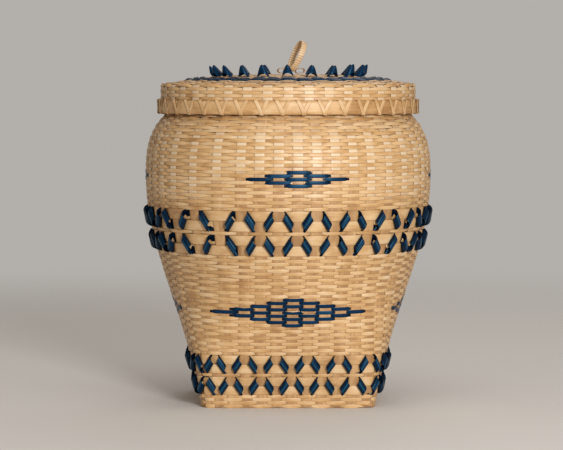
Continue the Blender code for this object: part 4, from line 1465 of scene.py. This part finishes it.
class BASKET_OT_lid_hoops(bpy.types.Operator):
    """Bind the lid's edge with two hoops and their lashing"""
    bl_idname = "basket.lid_hoops"
    bl_label = "Bind the Lid"

    def execute(self, context):
        maker = Maker(context)
        lid = maker.lid
        low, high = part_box("lid_outer_hoop")
        make_hoop(maker, "lid_outer_hoop", low.z, high.z, "lid", "ash_splint_pale", -1.44, 94, 0.5)
        make_hoop(maker, "lid_inner_hoop", low.z, high.z, "lid", "ash_splint_warm", 1.3, 95, 0.4)
        offset = lid.turn - math.pi / 2.0 + (lid.strand_shift - 0.5) * math.tau / lid.uprights
        make_lashing(maker, "lid_lashing_strands", "lid_outer_hoop", "lid_inner_hoop", lid.uprights, "lid",
                     offset, (1, -1), 96, "lid_lashing")
        return {"FINISHED"}


class BASKET_OT_lid_curls(bpy.types.Operator):
    """Set the ring of pointed curls on the lid"""
    bl_idname = "basket.lid_curls"
    bl_label = "Curl the Lid's Ring"

    def execute(self, context):
        make_lid_curls(Maker(context))
        return {"FINISHED"}


class BASKET_OT_handle(bpy.types.Operator):
    """Wrap the ring handle and strap it to the lid"""
    bl_idname = "basket.handle"
    bl_label = "Wrap the Handle"

    def execute(self, context):
        maker = Maker(context)
        make_ring(maker)
        make_strap(maker)
        return {"FINISHED"}


OPERATORS = (
    BASKET_OT_stage, BASKET_OT_uprights, BASKET_OT_plain_weave, BASKET_OT_bands, BASKET_OT_curls,
    BASKET_OT_diamonds, BASKET_OT_rim, BASKET_OT_lid_weave, BASKET_OT_lid_hoops, BASKET_OT_lid_curls,
    BASKET_OT_handle,
)
GROUPS = {
    "basket_body": BodySizes, "basket_weave": WeaveSizes, "basket_lid": LidSizes,
    "basket_handle": HandleSizes, "basket_colours": SplintColours, "basket_stage": StageSizes,
}


class BASKET_PT_dressing(bpy.types.Panel):
    """Lists the sizes and the pieces"""
    bl_idname = "BASKET_PT_dressing"
    bl_label = "Basket"
    bl_space_type = "VIEW_3D"
    bl_region_type = "UI"
    bl_category = "Basket"

    def draw(self, context):
        for operator in OPERATORS:
            self.layout.operator(operator.bl_idname)
        for name, group in GROUPS.items():
            box = self.layout.box()
            for field in group.__annotations__:
                box.prop(getattr(context.scene, name), field)


def register():
    """Adds the sizes, operators and panel."""
    for group in (*GROUPS.values(), *OPERATORS, BASKET_PT_dressing):
        bpy.utils.register_class(group)
    for name, group in GROUPS.items():
        setattr(bpy.types.Scene, name, PointerProperty(type=group))


def unregister():
    """Takes away what register added."""
    for name in GROUPS:
        delattr(bpy.types.Scene, name)
    for group in (BASKET_PT_dressing, *reversed(OPERATORS), *reversed(GROUPS.values())):
        bpy.utils.unregister_class(group)


def main():
    """Registers the add-on, then makes every piece."""
    register()
    for operator in OPERATORS:
        family, name = operator.bl_idname.split(".")
        getattr(getattr(bpy.ops, family), name)()


if __name__ == "__main__":
    main()
